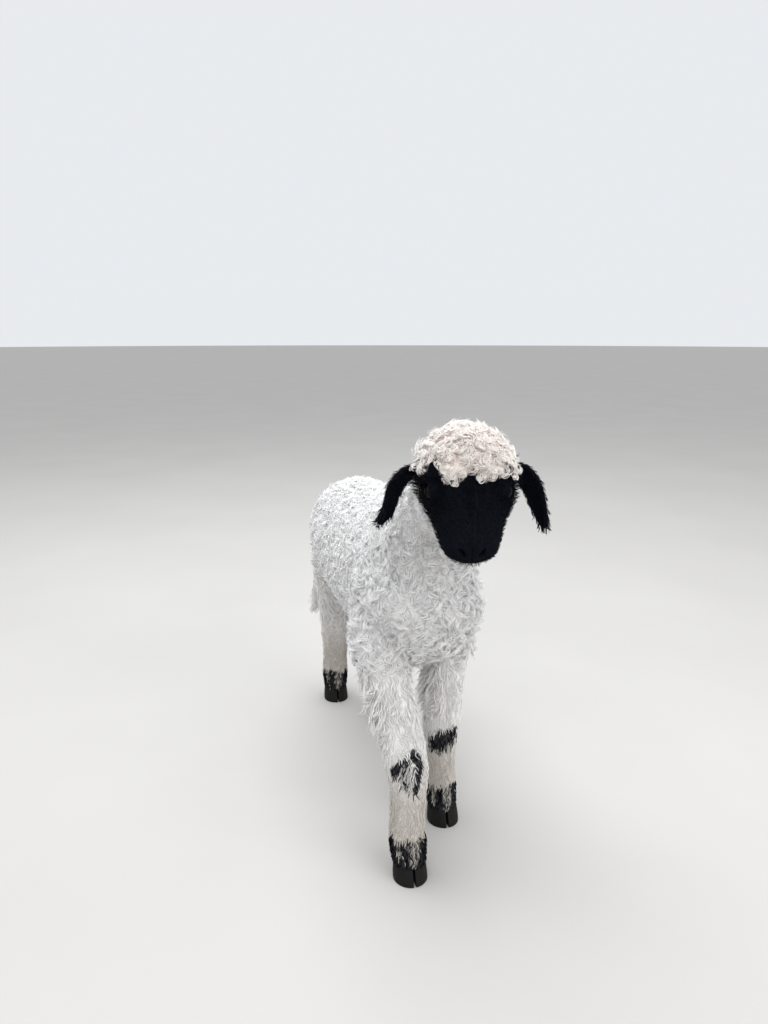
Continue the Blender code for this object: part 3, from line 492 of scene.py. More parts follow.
def topknot_piece():
    """The core of the wool over the poll: flat below, where it sits on the skull, and domed above."""
    sections = []
    back = HEAD_LIE.inverted() @ POLL
    depth = TOPKNOT_DEPTH * CORE_SHARE
    for share, floor, top_share, side_share in TOPKNOT_SECTIONS:
        high, low, width, narrowing = skull_at(share)
        top = high - floor + depth * top_share
        sections.append((back.x, back.y + floor, back.z + share * HEAD_LENGTH,
                         width * HEAD_HALF_WIDTH + depth * side_share, top))
    topknot = limb("topknot", sections, HEAD_LIE, 2)
    floors = [row[1] for row in TOPKNOT_SECTIONS]
    shares = [row[0] for row in TOPKNOT_SECTIONS]
    for vertex in topknot.data.vertices:
        nose, left, brow = (float(value) for value in head_terms(vertex.co))
        floor = float(np.interp(nose / HEAD_LENGTH, shares, floors))
        if brow < floor:
            vertex.co += BROWWARD * ((floor - brow) * 0.8)
    return topknot


def tail_piece():
    """A curve with its radius set point by point, made a mesh."""
    line = bpy.data.curves.new("tail", "CURVE")
    line.dimensions = "3D"
    line.bevel_depth = TAIL_RADIUS
    line.bevel_resolution = 3
    line.use_fill_caps = True
    spline = line.splines.new("BEZIER")
    spline.bezier_points.add(len(TAIL_LINE) - 1)
    for point, (place, share) in zip(spline.bezier_points, TAIL_LINE):
        point.co = Vector(place) + STANCE_SHIFT
        point.radius = share - TAIL_WOOL_DEPTH * (1 - CORE_SHARE) / TAIL_RADIUS
        point.handle_left_type = point.handle_right_type = "AUTO"
    tail = bpy.data.objects.new("tail_core", line)
    bpy.context.scene.collection.objects.link(tail)
    make_active(tail)
    bpy.ops.object.convert(target="MESH")
    tail = on_all(bpy.context.active_object, bpy.ops.mesh.remove_doubles, threshold=0.0001)
    return outwards(tail)


def refine(rows, steps):
    """Rows of numbers with Catmull-Rom steps between them."""
    padded = [rows[0]] + list(rows) + [rows[-1]]
    made = []
    for i in range(1, len(padded) - 2):
        a, b, c, d = (np.array(row) for row in padded[i - 1:i + 3])
        for t in np.arange(steps) / steps:
            made.append(0.5 * (2 * b + (c - a) * t + (2 * a - 5 * b + 4 * c - d) * t ** 2
                               + (3 * b - a - 3 * c + d) * t ** 3))
    made.append(np.array(rows[-1]))
    return made


def ear_piece(word):
    """A cupped leaf, open ahead and rolled tight at its root: a grid bent along its line and thickened."""
    side = SIDES[word]
    rows = refine(EAR_LINES[word], EAR_STEPS)
    middles = [in_head(nose, side * left, brow) for nose, left, brow, share in rows]
    ear = added("ear_leaf_" + word, bpy.ops.mesh.primitive_grid_add, x_subdivisions=EAR_COLUMNS,
                y_subdivisions=len(rows) - 1, size=2)
    for vertex in ear.data.vertices:
        i = round((vertex.co.y + 1) / 2 * (len(rows) - 1))
        turn_share = vertex.co.x / 2
        along = (middles[min(i + 1, len(rows) - 1)] - middles[max(i - 1, 0)]).normalized()
        travel = i / (len(rows) - 1)
        open_way = NOSEWARD * 0.8 + BROWWARD * 0.25 * (1 - travel)
        open_way -= LEFTWARD * side * (0.1 + 0.5 * travel)
        open_way = (open_way - along * open_way.dot(along)).normalized()
        across = along.cross(open_way).normalized()
        curl = EAR_ROOT_CURL + (EAR_LEAF_CURL - EAR_ROOT_CURL) * min(1.0, travel * 2.2)
        radius = EAR_WIDTH / 2 * rows[i][3] / math.sin(curl / 2) - EAR_THICKNESS / 2
        hub = middles[i] + open_way * radius * 0.75
        angle = curl * turn_share
        vertex.co = hub - open_way * math.cos(angle) * radius + across * math.sin(angle) * radius
    thick = ear.modifiers.new("thickness", "SOLIDIFY")
    thick.thickness = EAR_THICKNESS
    thick.offset = 0
    ear.modifiers.new("rounding", "SUBSURF").levels = 1
    apply_modifiers(ear)
    return outwards(ear)


def eye_frame(side):
    """The eye's centre, and unit vectors out of it, up and along the slit of the lids."""
    nose, left, brow = EYE_PLACE
    out = (NOSEWARD * EYE_LOOK[0] + LEFTWARD * EYE_LOOK[1] * side + BROWWARD * EYE_LOOK[2]).normalized()
    slit = NOSEWARD * 0.94 - BROWWARD * 0.30
    slit = (slit - out * slit.dot(out)).normalized()
    return in_head(nose, left * side, brow), out, out.cross(slit).normalized(), slit


def from_eye(points, side):
    """How far points lie from an eye's centre."""
    return np.linalg.norm(points - np.array(eye_frame(side)[0]), axis=1)


def ball(name, centre, radius, segments=32, rings=16):
    piece = added(name, bpy.ops.mesh.primitive_uv_sphere_add, segments=segments, ring_count=rings,
                  radius=radius, location=centre)
    bpy.ops.object.transform_apply(location=True, rotation=True, scale=True)
    return piece


def joined(name, pieces):
    bpy.ops.object.select_all(action="DESELECT")
    for piece in pieces:
        piece.select_set(True)
    bpy.context.view_layer.objects.active = pieces[0]
    bpy.ops.object.join()
    whole = bpy.context.active_object
    whole.name = whole.data.name = name
    return whole


def weighted_smooth(skin, name, iterations, weigh=None):
    """Smooths the skin, in full or by a weight that weigh gives for each place."""
    modifier = skin.modifiers.new(name, "SMOOTH")
    modifier.iterations = iterations
    if weigh:
        group = skin.vertex_groups.new(name=name)
        places = vertex_places(skin)
        for index, weight in enumerate(weigh(places).tolist()):
            if weight > 0.01:
                group.add([index], weight, "REPLACE")
        modifier.vertex_group = name
    apply_modifiers(skin)
    skin.vertex_groups.clear()


def triples(items, key):
    """Three numbers for each vertex or face of a mesh, as an array."""
    flat = np.empty(len(items) * 3, np.float32)
    items.foreach_get(key, flat)
    return flat.reshape(-1, 3).astype(float)


def vertex_places(obj):
    return triples(obj.data.vertices, "co")


def vertex_normals(obj):
    return triples(obj.data.vertices, "normal")


def place_vertices(obj, places):
    obj.data.vertices.foreach_set("co", places.astype(np.float32).ravel())
    obj.data.update()


def where_limbs_meet(places):
    nose, left, brow = head_terms(places)
    return slope(-nose, -0.030, 0.020) * slope(places[:, 2], 0.19, 0.03)


def fuse(obj, operation, others):
    """Applies one Boolean between obj and each of the closed meshes, which it removes."""
    for other in others:
        modifier = obj.modifiers.new(operation.lower(), "BOOLEAN")
        modifier.operation = operation
        modifier.solver = "MANIFOLD"
        modifier.object = other
        apply_modifiers(obj)
        bpy.data.objects.remove(other)


def select_faces(obj, chosen):
    """Goes to edit mode with just the chosen faces selected."""
    edit(obj)
    bpy.ops.mesh.select_all(action="DESELECT")
    leave_edit()
    obj.data.polygons.foreach_set("select", chosen)
    edit(obj)


def eye_terms(points, side):
    """How far points lie from an eye's centre along its slit, up and out."""
    centre, out, up, slit = eye_frame(side)
    return terms_along(points, centre, slit, up, out)


def hump(distance, width):
    """A smooth bump of height 1."""
    return np.exp(-(distance / width) ** 2)


def slope(value, start, span):
    """0 up to start, then straight up to 1 over the span."""
    return np.clip((value - start) / span, 0, 1)


def model_face(skin):
    """Divides the face more finely, then draws the lips, the mouth's line, the nose and the lids' rims."""
    centres = triples(skin.data.polygons, "center")
    nose, left, brow = head_terms(centres)
    fine = (nose > 0.084) & (brow < 0.03) & (brow > -0.055) & (np.abs(left) < 0.045)
    for side in SIDES.values():
        fine |= from_eye(centres, side) < 0.019
    select_faces(skin, fine)
    bpy.ops.mesh.subdivide(number_cuts=2, smoothness=0.0)
    bpy.ops.mesh.vertices_smooth(factor=0.5, repeat=4)
    leave_edit()
    places, normals = vertex_places(skin), vertex_normals(skin)
    nose, left, brow = head_terms(places)
    front = slope(nose / HEAD_LENGTH, MOUTH_CORNER_SHARE, 0.07)
    apart = brow - MOUTH_HEIGHT
    rise = -GROOVE_DEPTH * hump(apart, 0.0012) * front
    rise += LIP_SWELL * (hump(apart - 0.0030, 0.0022) + 0.9 * hump(apart + 0.0032, 0.0022)) * front
    chin = hump(brow + 0.0385, 0.006) * hump(nose - 0.119, 0.010)
    rise += 0.0020 * chin
    groove = hump(left, 0.0010) * (nose > 0.115) * (brow > MOUTH_HEIGHT) * (brow < -0.012)
    rise -= 0.0011 * groove
    for side in SIDES.values():
        slant, across, deep, centre = nostril_frame(side)
        by_slant, by_across = terms_along(places, centre, slant, across)
        around = np.sqrt((by_slant / 0.0088) ** 2 + (by_across / 0.0052) ** 2)
        near = (nose > 0.105) & (np.linalg.norm(places - np.array(centre), axis=1) < 0.012)
        nostril_rim = hump(around - 0.75, 0.32) * near
        slit, up, out = eye_terms(places, side)
        rim = np.sqrt((slit / (EYE_RADIUS * LID_SLIT_SHARE)) ** 2
                      + (up / (EYE_RADIUS * LID_OPEN_SHARE)) ** 2)
        lid_rim = hump(rim - 1.15, 0.22) * (out > 0)
        lid_crease = hump(up - 0.0105, 0.0022) * hump(slit, 0.011) * (out > 0)
        brow_ridge = hump(up - 0.0160, 0.0048) * hump(slit - 0.002, 0.014) * (out > -0.006)
        rise += 0.0010 * nostril_rim + 0.0005 * lid_rim - 0.0011 * lid_crease + 0.0022 * brow_ridge
    place_vertices(skin, places + normals * rise[:, None])


def nostril_frame(side):
    """A nostril's slant, the way across it, the way into the nose, and its centre."""
    nose, left, brow = NOSTRIL_PLACE
    slant = (LEFTWARD * side * 0.85 + BROWWARD * 0.5).normalized()
    inward = (-NOSEWARD * 0.8 - LEFTWARD * side * 0.35).normalized()
    deep = (inward - slant * inward.dot(slant)).normalized()
    return slant, slant.cross(deep), deep, in_head(nose, left * side, brow)


def nostril_cutter(side):
    """A bent, flattened ball, whose mouth is the comma of a sheep's nostril."""
    slant, across, deep, centre = nostril_frame(side)
    cutter = ball("nostril", (0, 0, 0), 1.0, 28, 16)
    along, thick, inward = NOSTRIL_RADII
    for vertex in cutter.data.vertices:
        x, y, z = vertex.co
        bend = 0.0016 * (x * x - 0.3)
        height = y * thick * (1 - 0.35 * x) + bend
        vertex.co = centre + slant * (x * along) + across * height + deep * (z * inward)
    return outwards(cutter)


def lid_opening(side):
    """The almond between the lids, drawn out along the eye's look."""
    centre, out, up, slit = eye_frame(side)
    half_slit, half_height = EYE_RADIUS * LID_SLIT_SHARE, EYE_RADIUS * LID_OPEN_SHARE
    sections = [(0, 0, EYE_RADIUS * 0.30, half_slit, half_height),
                (0, 0, EYE_RADIUS * 1.60, half_slit * 1.2, half_height * 1.2)]
    opening = limb("lid_opening", sections, None, 0, 40)
    for vertex in opening.data.vertices:
        vertex.co.y *= 1 - 0.35 * min(1.0, (vertex.co.x / half_slit) ** 2)
    lie = Matrix.Translation(centre) @ columns(slit, up, out).to_4x4()
    opening.data.transform(lie)
    return outwards(opening)


def make_skin():
    """One closed skin for the whole lamb, with its ears, lids, nostrils and mouth."""
    limbs = [trunk_piece(), neck_piece(), head_piece(), topknot_piece(), tail_piece()]
    limbs += [leg_piece(name) for name in LEG_SECTIONS]
    for side in SIDES.values():
        limbs.append(ball("lids", eye_frame(side)[0], EYE_RADIUS + LID_THICKNESS))
    skin = joined("skin", limbs)
    skin.data.remesh_voxel_size = SKIN_VOXEL
    bpy.ops.object.voxel_remesh()
    weighted_smooth(skin, "whole", 5)
    weighted_smooth(skin, "creases", 34, where_limbs_meet)
    model_face(skin)
    fuse(skin, "UNION", [ear_piece(word) for word in SIDES])
    fuse(skin, "DIFFERENCE", [nostril_cutter(side) for side in SIDES.values()])
    fuse(skin, "DIFFERENCE", [lid_opening(side) for side in SIDES.values()])
    sockets = [ball("socket", eye_frame(side)[0], EYE_RADIUS + EYE_GAP, 48, 24) for side in SIDES.values()]
    fuse(skin, "DIFFERENCE", sockets)
    on_all(skin, bpy.ops.uv.smart_project, angle_limit=math.radians(66), island_margin=0.002)
    skin.data.uv_layers.active.name = SKIN_MAP
    return skin


def eye_piece(word):
    """An eyeball with a slightly domed cornea, and how far across and up each point is from its middle."""
    side = SIDES[word]
    eye = ball("eyeball_" + word, (0, 0, 0), EYE_RADIUS, 64, 40)
    centre, out, up, slit = eye_frame(side)
    across, upward = [], []
    for vertex in eye.data.vertices:
        away = math.acos(min(1.0, vertex.co.z / EYE_RADIUS))
        across.append(vertex.co.x / EYE_RADIUS if vertex.co.z > 0 else 2.0)
        upward.append(vertex.co.y / EYE_RADIUS if vertex.co.z > 0 else 2.0)
        dome = max(0.0, 1 - (away / CORNEA_REACH) ** 2)
        vertex.co *= 1 + CORNEA_RISE * dome
    eye.data.transform(Matrix.Translation(centre) @ columns(slit, up, out).to_4x4())
    outwards(eye)
    give(eye, "across", across)
    give(eye, "upward", upward)
    eye.data.shade_smooth()
    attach(eye, "root")
    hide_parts("eye_" + word)
    return eye


def give(obj, name, values):
    """Writes one number a vertex."""
    obj.data.attributes.new(name, "FLOAT", "POINT").data.foreach_set("value", np.array(values, np.float32))


def claw_piece(leg, word):
    """Half of a tapered oval hoof, cut flat along the cleft, with rounded edges and a flat sole."""
    side = SIDES[word]
    x, y = LEG_SECTIONS[leg][-1][:2]
    x, y = x + STANCE_SHIFT.x, y + STANCE_SHIFT.y
    sections = []
    for height, spread, toe, heel in HOOF_SECTIONS:
        front, rear = y - HOOF_LENGTH / 2 * toe, y + HOOF_LENGTH / 2 * heel
        half_width, half_length = HOOF_WIDTH / 2 * spread, (rear - front) / 2
        sections.append((x, (front + rear) / 2, height * CORONET_HEIGHT, half_width, half_length))
    claw = limb("claw_" + leg + "_" + word, sections, None, 0, 36)
    on_all(claw, bpy.ops.mesh.bisect, plane_co=(x + side * CLEFT_WIDTH / 2, 0, 0), plane_no=(side, 0, 0),
           use_fill=True, clear_inner=True)
    outwards(claw)
    round_edges = claw.modifiers.new("round_edges", "BEVEL")
    round_edges.width = CLAW_EDGE
    round_edges.segments = 3
    round_edges.limit_method = "ANGLE"
    round_edges.angle_limit = CLAW_EDGE_ANGLE
    apply_modifiers(claw)
    claw.data.shade_smooth()
    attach(claw, "root")
    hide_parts("hoof_" + leg + "_" + word + "_claw")
    return claw


def dewclaw_piece():
    """The small horn buds behind the fetlocks, two on each leg, each a ball drawn to a blunt point."""
    buds = []
    for leg, rows in LEG_SECTIONS.items():
        x, y, height, width, depth = min(rows, key=lambda row: abs(row[2] - DEWCLAW_HEIGHT))
        for side in SIDES.values():
            bud = ball("bud", (0, 0, 0), DEWCLAW_RADIUS, 20, 12)
            for vertex in bud.data.vertices:
                down = max(0.0, -vertex.co.z / DEWCLAW_RADIUS)
                vertex.co.x *= 1 - 0.35 * down
                vertex.co.y = vertex.co.y * (1 - 0.35 * down) + 0.0016 * down
                vertex.co.z *= 1.5
            place = Vector((x + side * DEWCLAW_APART, y + depth * 0.85, DEWCLAW_HEIGHT)) + STANCE_SHIFT
            bud.data.transform(Matrix.Translation(place))
            buds.append(bud)
    dewclaws = joined("dewclaws", buds)
    dewclaws.data.shade_smooth()
    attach(dewclaws, "root")
    return dewclaws


def smooth_noise(points, size, shift):
    """A smooth random number from about -1 to 1 at each point, that varies over about size."""
    offset = Vector((shift, shift * 0.7, -shift))
    return np.array([noise.noise(Vector(point) / size + offset) for point in points]) * 1.6


def unit(vectors):
    return vectors / np.maximum(np.linalg.norm(vectors, axis=-1, keepdims=True), 1e-9)


def near_ears(points):
    """How near points lie to the ears' middle lines, how far along them, and which way they run there."""
    best = np.full(len(points), 9.0)
    travel = np.zeros(len(points))
    way = np.zeros((len(points), 3))
    for word, side in SIDES.items():
        rows = refine(EAR_LINES[word], EAR_STEPS)
        line = np.array([in_head(row[0], side * row[1], row[2]) for row in rows])
        steps = np.gradient(line, axis=0)
        away = np.linalg.norm(points[:, None] - line[None], axis=2)
        nearest = away.argmin(1)
        closer = away.min(1) < best
        best[closer] = away.min(1)[closer]
        travel[closer] = nearest[closer] / (len(rows) - 1)
        way[closer] = steps[nearest[closer]]
    return best, travel, unit(way)


def zones(points):
    """Which part of the coat each point on the skin carries, as masks."""
    nose, left, brow = head_terms(points)
    shares = [row[0] for row in HEAD_SECTIONS]
    widths = np.interp(nose / HEAD_LENGTH, shares, [row[3] for row in HEAD_SECTIONS]) * HEAD_HALF_WIDTH
    reach = near_ears(points)[0]
    ear = (reach < EAR_REACH) & (np.abs(left) > np.maximum(widths + 0.003, 0.044)) & (nose > 0.02)
    over_root = (brow > 0.0035) & (left > -0.056) & (left < 0.050)
    ear &= ~over_root
    edge = np.interp(nose, [-0.08, 0.03, 0.056, 0.066], [-0.046, -0.022, 0.0085, 0.0095])
    hanging = nose < np.interp(left, [row[0] for row in HAIRLINE], [row[1] for row in HAIRLINE])
    rooted = over_root & (nose < 0.062) & (reach < EAR_REACH)
    cap = ~ear & (brow > edge) & (nose > -0.045) & (hanging | rooted)
    cap &= np.abs(left) < 0.075
    cheek = 0.012 + (0.030 - brow) * 0.415
    rearward, height = points[:, 1], points[:, 2]
    face = ~ear & ~cap & (nose > cheek) & (brow > -0.075) & (height > FACE_LOWEST)
    rest = ~(ear | cap | face)
    joint = np.where(rearward < 0, KNEE_HEIGHT, HOCK_HEIGHT)
    lowest, highest = TAIL_COAT_HEIGHTS
    tail = rest & (rearward > TAIL_COAT_FRONT) & (height > lowest) & (height < highest)
    shank = rest & ~tail & (height < joint + SHANK_COAT_RISE)
    leg = rest & ~tail & ~shank & (height < LEG_COAT_TOP)
    chest = rest & ~(tail | shank | leg) & (rearward < CHEST_COAT_REAR) & (height < CHEST_COAT_TOP)
    back = rest & ~(tail | shank | leg | chest)
    return {"ear": ear, "cap": cap, "face": face, "tail": tail, "shank": shank, "leg": leg,
            "chest": chest, "back": back}


def bare(points):
    """Where no hair grows: between the lids, in the nostrils, along the mouth and on the hooves."""
    nose, left, brow = head_terms(points)
    found = (nose > MOUTH_CORNER_SHARE * HEAD_LENGTH) & (np.abs(brow - MOUTH_HEIGHT) < 0.0010)
    found |= points[:, 2] < CORONET_HEIGHT - 0.001
    for side in SIDES.values():
        slit, up, out = eye_terms(points, side)
        almond = (slit / (EYE_RADIUS * 1.02)) ** 2 + (up / (EYE_RADIUS * 0.66)) ** 2
        found |= (almond < 1) & (out > 0)
        found |= np.sqrt(slit ** 2 + up ** 2 + out ** 2) < EYE_RADIUS + 0.0010
        slant, across, deep, centre = nostril_frame(side)
        by_slant, by_across, by_depth = terms_along(points, centre, slant, across, deep)
        found |= (by_slant / 0.0066) ** 2 + (by_across / 0.0036) ** 2 + (by_depth / 0.0075) ** 2 < 1
    return found


def black_share(points, where):
    """How black the coat is: all black on the face and ears, in patches at the joints and on the feet."""
    ragged = smooth_noise(points, 0.0055, 3.1) * 0.30
    share = (where["ear"] | where["face"]).astype(float)
    own = points - np.array(STANCE_SHIFT)
    height = own[:, 2]
    for leg, rows in LEG_SECTIONS.items():
        xs, ys, heights = zip(*[row[:3] for row in rows[::-1]])
        away_x = own[:, 0] - np.interp(height, heights, xs)
        away_y = own[:, 1] - np.interp(height, heights, ys)
        on_leg = (np.hypot(away_x, away_y) < 0.045) & (height < 0.19)
        round_leg = np.degrees(np.arctan2(away_x, -away_y))      # 0 ahead, +90 to the lamb's left
        if leg == "foreleg_right":
            patch = stroke(round_leg, height, KNEE_ARCH)
            mixed = bent_patch(round_leg, height, *RIGHT_KNEE_MIXED)
        elif leg == "foreleg_left":
            climb = KNEE_SLANT * np.clip(round_leg, -70, 50)
            patch = bent_patch(round_leg, height - climb, *LEFT_KNEE_BLACK)
            mixed = bent_patch(round_leg, height, *LEFT_KNEE_MIXED)
        else:
            patch = bent_patch(np.abs(round_leg), height, *HOCK_BLACK)
            mixed = bent_patch(np.abs(round_leg), height, *HOCK_MIXED)
        joint = np.where(patch + ragged > 0.5, 0.94, np.where(mixed + ragged > 0.5, 0.45, 0.0))
        streaks = np.maximum(*(bent_patch(round_leg, height, *streak) for streak in PALE_STREAKS))
        foot = np.where(streaks + ragged > 0.5, 0.60, 0.96)
        pastern = np.where(height + ragged * 0.012 < BLACK_FOOT_HEIGHT, foot, 0.0)
        share = np.maximum(share, on_leg * np.maximum(joint, pastern))
    return share


def bent_patch(round_leg, height, middle, middle_height, half_angle, half_height):
    """1 in the middle of an oval patch on a leg, 0.5 at its edge."""
    turned = (round_leg - middle + 180) % 360 - 180
    return 1 - 0.5 * ((turned / half_angle) ** 2 + ((height - middle_height) / half_height) ** 2)


def stroke(round_leg, height, line):
    """1 along a bent stroke on a leg, 0.5 at its edge."""
    best = np.full(len(height), -9.0)
    across = np.radians(round_leg) * KNEE_RADIUS
    for (angle, low, width), (next_angle, high, next_width) in zip(line, line[1:]):
        start = math.radians(angle) * KNEE_RADIUS
        run, rise = math.radians(next_angle) * KNEE_RADIUS - start, high - low
        t = np.clip(((across - start) * run + (height - low) * rise) / (run ** 2 + rise ** 2), 0, 1)
        away = np.hypot(across - start - run * t, height - low - rise * t)
        best = np.maximum(best, 1 - 0.5 * (away / (width + (next_width - width) * t)) ** 2)
    return best


def cream_share(points):
    """Where the wool is yellowish: on the cap."""
    reach = np.linalg.norm(points - np.array(in_head(0.020, 0, 0.020)), axis=1)
    return np.clip(1.35 - reach / 0.075, 0, 1)


def dirt_and_shade_share(points):
    """Where the wool is greyish beige, dirt and painted shade together: on the legs, the more the lower."""
    return np.interp(points[:, 2], [0.085, 0.135, 0.20, 0.25], [0.85, 0.26, 0.18, 0.0])


class Ground:
    """The finished skin's triangles, to set the coat on."""

    def __init__(self, skin):
        mesh = skin.data
        mesh.calc_loop_triangles()
        corners = np.empty(len(mesh.loop_triangles) * 3, np.int32)
        loops = np.empty(len(mesh.loop_triangles) * 3, np.int32)
        mesh.loop_triangles.foreach_get("vertices", corners)
        mesh.loop_triangles.foreach_get("loops", loops)
        unwrap = np.empty(len(mesh.loops) * 2, np.float32)
        mesh.uv_layers[SKIN_MAP].uv.foreach_get("vector", unwrap)
        corners = corners.reshape(-1, 3)
        self.places = vertex_places(skin)[corners]
        self.normals = vertex_normals(skin)[corners]
        self.unwrap = unwrap.reshape(-1, 2).astype(float)[loops.reshape(-1, 3)]
        cross = np.cross(self.places[:, 1] - self.places[:, 0], self.places[:, 2] - self.places[:, 0])
        self.areas = np.linalg.norm(cross, axis=1) / 2
        centres = self.places.mean(1)
        self.zones = zones(centres)
        self.hairy = ~bare(centres)

    def scatter(self, zone, spacing, rng):
        """Roots about a spacing apart in one zone: places, normals and places on the unwrap."""
        chosen = np.flatnonzero(self.zones[zone] & self.hairy)
        area = self.areas[chosen].sum()
        tries = int(area / spacing ** 2 * TRIES)
        picked = rng.choice(chosen, tries, p=self.areas[chosen] / area)
        first, second = rng.random((2, tries))
        over = first + second > 1
        first[over], second[over] = 1 - first[over], 1 - second[over]
        weights = np.stack([1 - first - second, first, second], 1)[:, :, None]
        places = (self.places[picked] * weights).sum(1)
        kept = keep_apart(places, spacing)
        picked, weights = picked[kept], weights[kept]
        normals, unwrap = (self.normals[picked] * weights).sum(1), (self.unwrap[picked] * weights).sum(1)
        return places[kept], unit(normals), unwrap


def keep_apart(places, spacing):
    """The numbers of places that lie at least a spacing from all kept before them."""
    cells = np.floor(places / spacing).astype(int).tolist()
    steps = [(i, j, k) for i in (-1, 0, 1) for j in (-1, 0, 1) for k in (-1, 0, 1)]
    taken, kept = {}, []
    limit = spacing ** 2
    for number, (place, (x, y, z)) in enumerate(zip(places.tolist(), cells)):
        near = [other for i, j, k in steps for other in taken.get((x + i, y + j, z + k), ())]
        if all((a - place[0]) ** 2 + (b - place[1]) ** 2 + (c - place[2]) ** 2 > limit for a, b, c in near):
            taken.setdefault((x, y, z), []).append(place)
            kept.append(number)
    return kept


def nearest_locks(places, normals, lock_places, lock_normals):
    """For each strand, the nearest lock that grows on the same side of the skin."""
    tree = kdtree.KDTree(len(lock_places))
    for number, place in enumerate(lock_places):
        tree.insert(place, number)
    tree.balance()
    found = np.empty(len(places), int)
    for number, place in enumerate(places):
        near = [index for point, index, distance in tree.find_n(place, 5)]
        facing = (index for index in near if lock_normals[index] @ normals[number] > 0.3)
        found[number] = next(facing, near[0])
    return found


def lie_of(zone, points):
    """Which way the coat lies at each point."""
    ways = {"back": (0, 0.55, -0.83), "chest": (0, 0.25, -0.97), "tail": (0, 0.15, -1),
            "leg": (0, 0.06, -1), "shank": (0, 0.04, -1)}
    if zone == "cap":
        return points - np.array(in_head(-0.014, 0.0, 0.036))
    if zone == "face":
        flow = unit(points - np.array(in_head(HEAD_LENGTH + 0.004, 0, -0.016)))
        for side in SIDES.values():
            reach = points - np.array(eye_frame(side)[0])
            near = np.clip(1.6 - np.linalg.norm(reach, axis=1) / 0.012, 0, 0.6)[:, None]
            flow = flow * (1 - near) + unit(reach) * near
        return flow
    if zone == "ear":
        return near_ears(points)[2]
    return np.tile(np.array(ways[zone], float), (len(points), 1))


def length_share(zone, points):
    """How long the strands are at each point, as a share of the zone's length."""
    nose, left, brow = head_terms(points)
    if zone == "face":
        share = np.interp(nose / HEAD_LENGTH, [0.10, 0.55, 0.80, 0.95], [1.30, 1.00, 0.62, 0.38])
        share += 0.9 * at_chin(nose, brow)
        for side in SIDES.values():
            near_eye = np.interp(from_eye(points, side), [0.010, 0.0125, 0.020], [0.35, 0.85, 1.3])
            share = np.minimum(share, near_eye)
        return share * (1 + 1.1 * at_temples(nose, left, brow))
    if zone == "ear":
        return np.interp(near_ears(points)[1], [0.1, 0.35, 0.7, 1.0], [0.45, 1.0, 1.15, 1.50])
    outer = np.where((points[:, 1] < 0) & (points[:, 0] > 0.030), 0.60, 1.0)
    if zone == "shank":
        return np.interp(points[:, 2], [0.018, 0.045, 0.10], [0.55, 0.90, 1.0]) * outer
    if zone == "leg":
        upward = np.interp(points[:, 2], [0.14, 0.19], [0.75, 1.10])
        return upward * outer * (1 + 0.45 * at_forearms(points))
    if zone == "cap":
        share = np.interp(left, [-0.056, -0.042, 0.034, 0.050], [0.70, 1.0, 1.0, 0.62])
        return share * np.interp(nose, [0.035, 0.062], [1.0, 0.66])
    return np.ones(len(points))


def at_temples(nose, left, brow):
    """From 0 to 1, the tufts of hair between the eyes and the ears."""
    return hump(nose - 0.048, 0.012) * slope(np.abs(left), 0.032, 0.008) * (np.abs(brow + 0.015) < 0.016)


def at_chin(nose, brow):
    """From 0 to 1, the beard under the muzzle."""
    return slope(-brow, 0.028, 0.008) * slope(nose, 0.095, 0.008)


def at_forearms(points):
    """From 0 to 1, the fuller wool between the forelegs and out along the right one."""
    inner = slope(-np.abs(points[:, 0]), -0.024, 0.010)
    outer = slope(-points[:, 0], 0.056, 0.008)
    return np.maximum(inner, outer) * (points[:, 1] < -0.06) * slope(points[:, 2], 0.150, 0.02)


def lift(zone, points):
    """How much more the strands stand off the skin at each point, in radians."""
    raised = np.zeros(len(points))
    if zone == "leg":
        raised += 0.28 * at_forearms(points)
    if zone == "face":
        nose, left, brow = head_terms(points)
        raised += 0.75 * at_temples(nose, left, brow) + 0.30 * slope(np.abs(left), 0.022, 0.010)
        raised += 0.38 * at_chin(nose, brow)
        for side in SIDES.values():
            raised += 0.8 * hump(from_eye(points, side) - 0.0135, 0.003) * (nose > EYE_PLACE[0])
    return raised


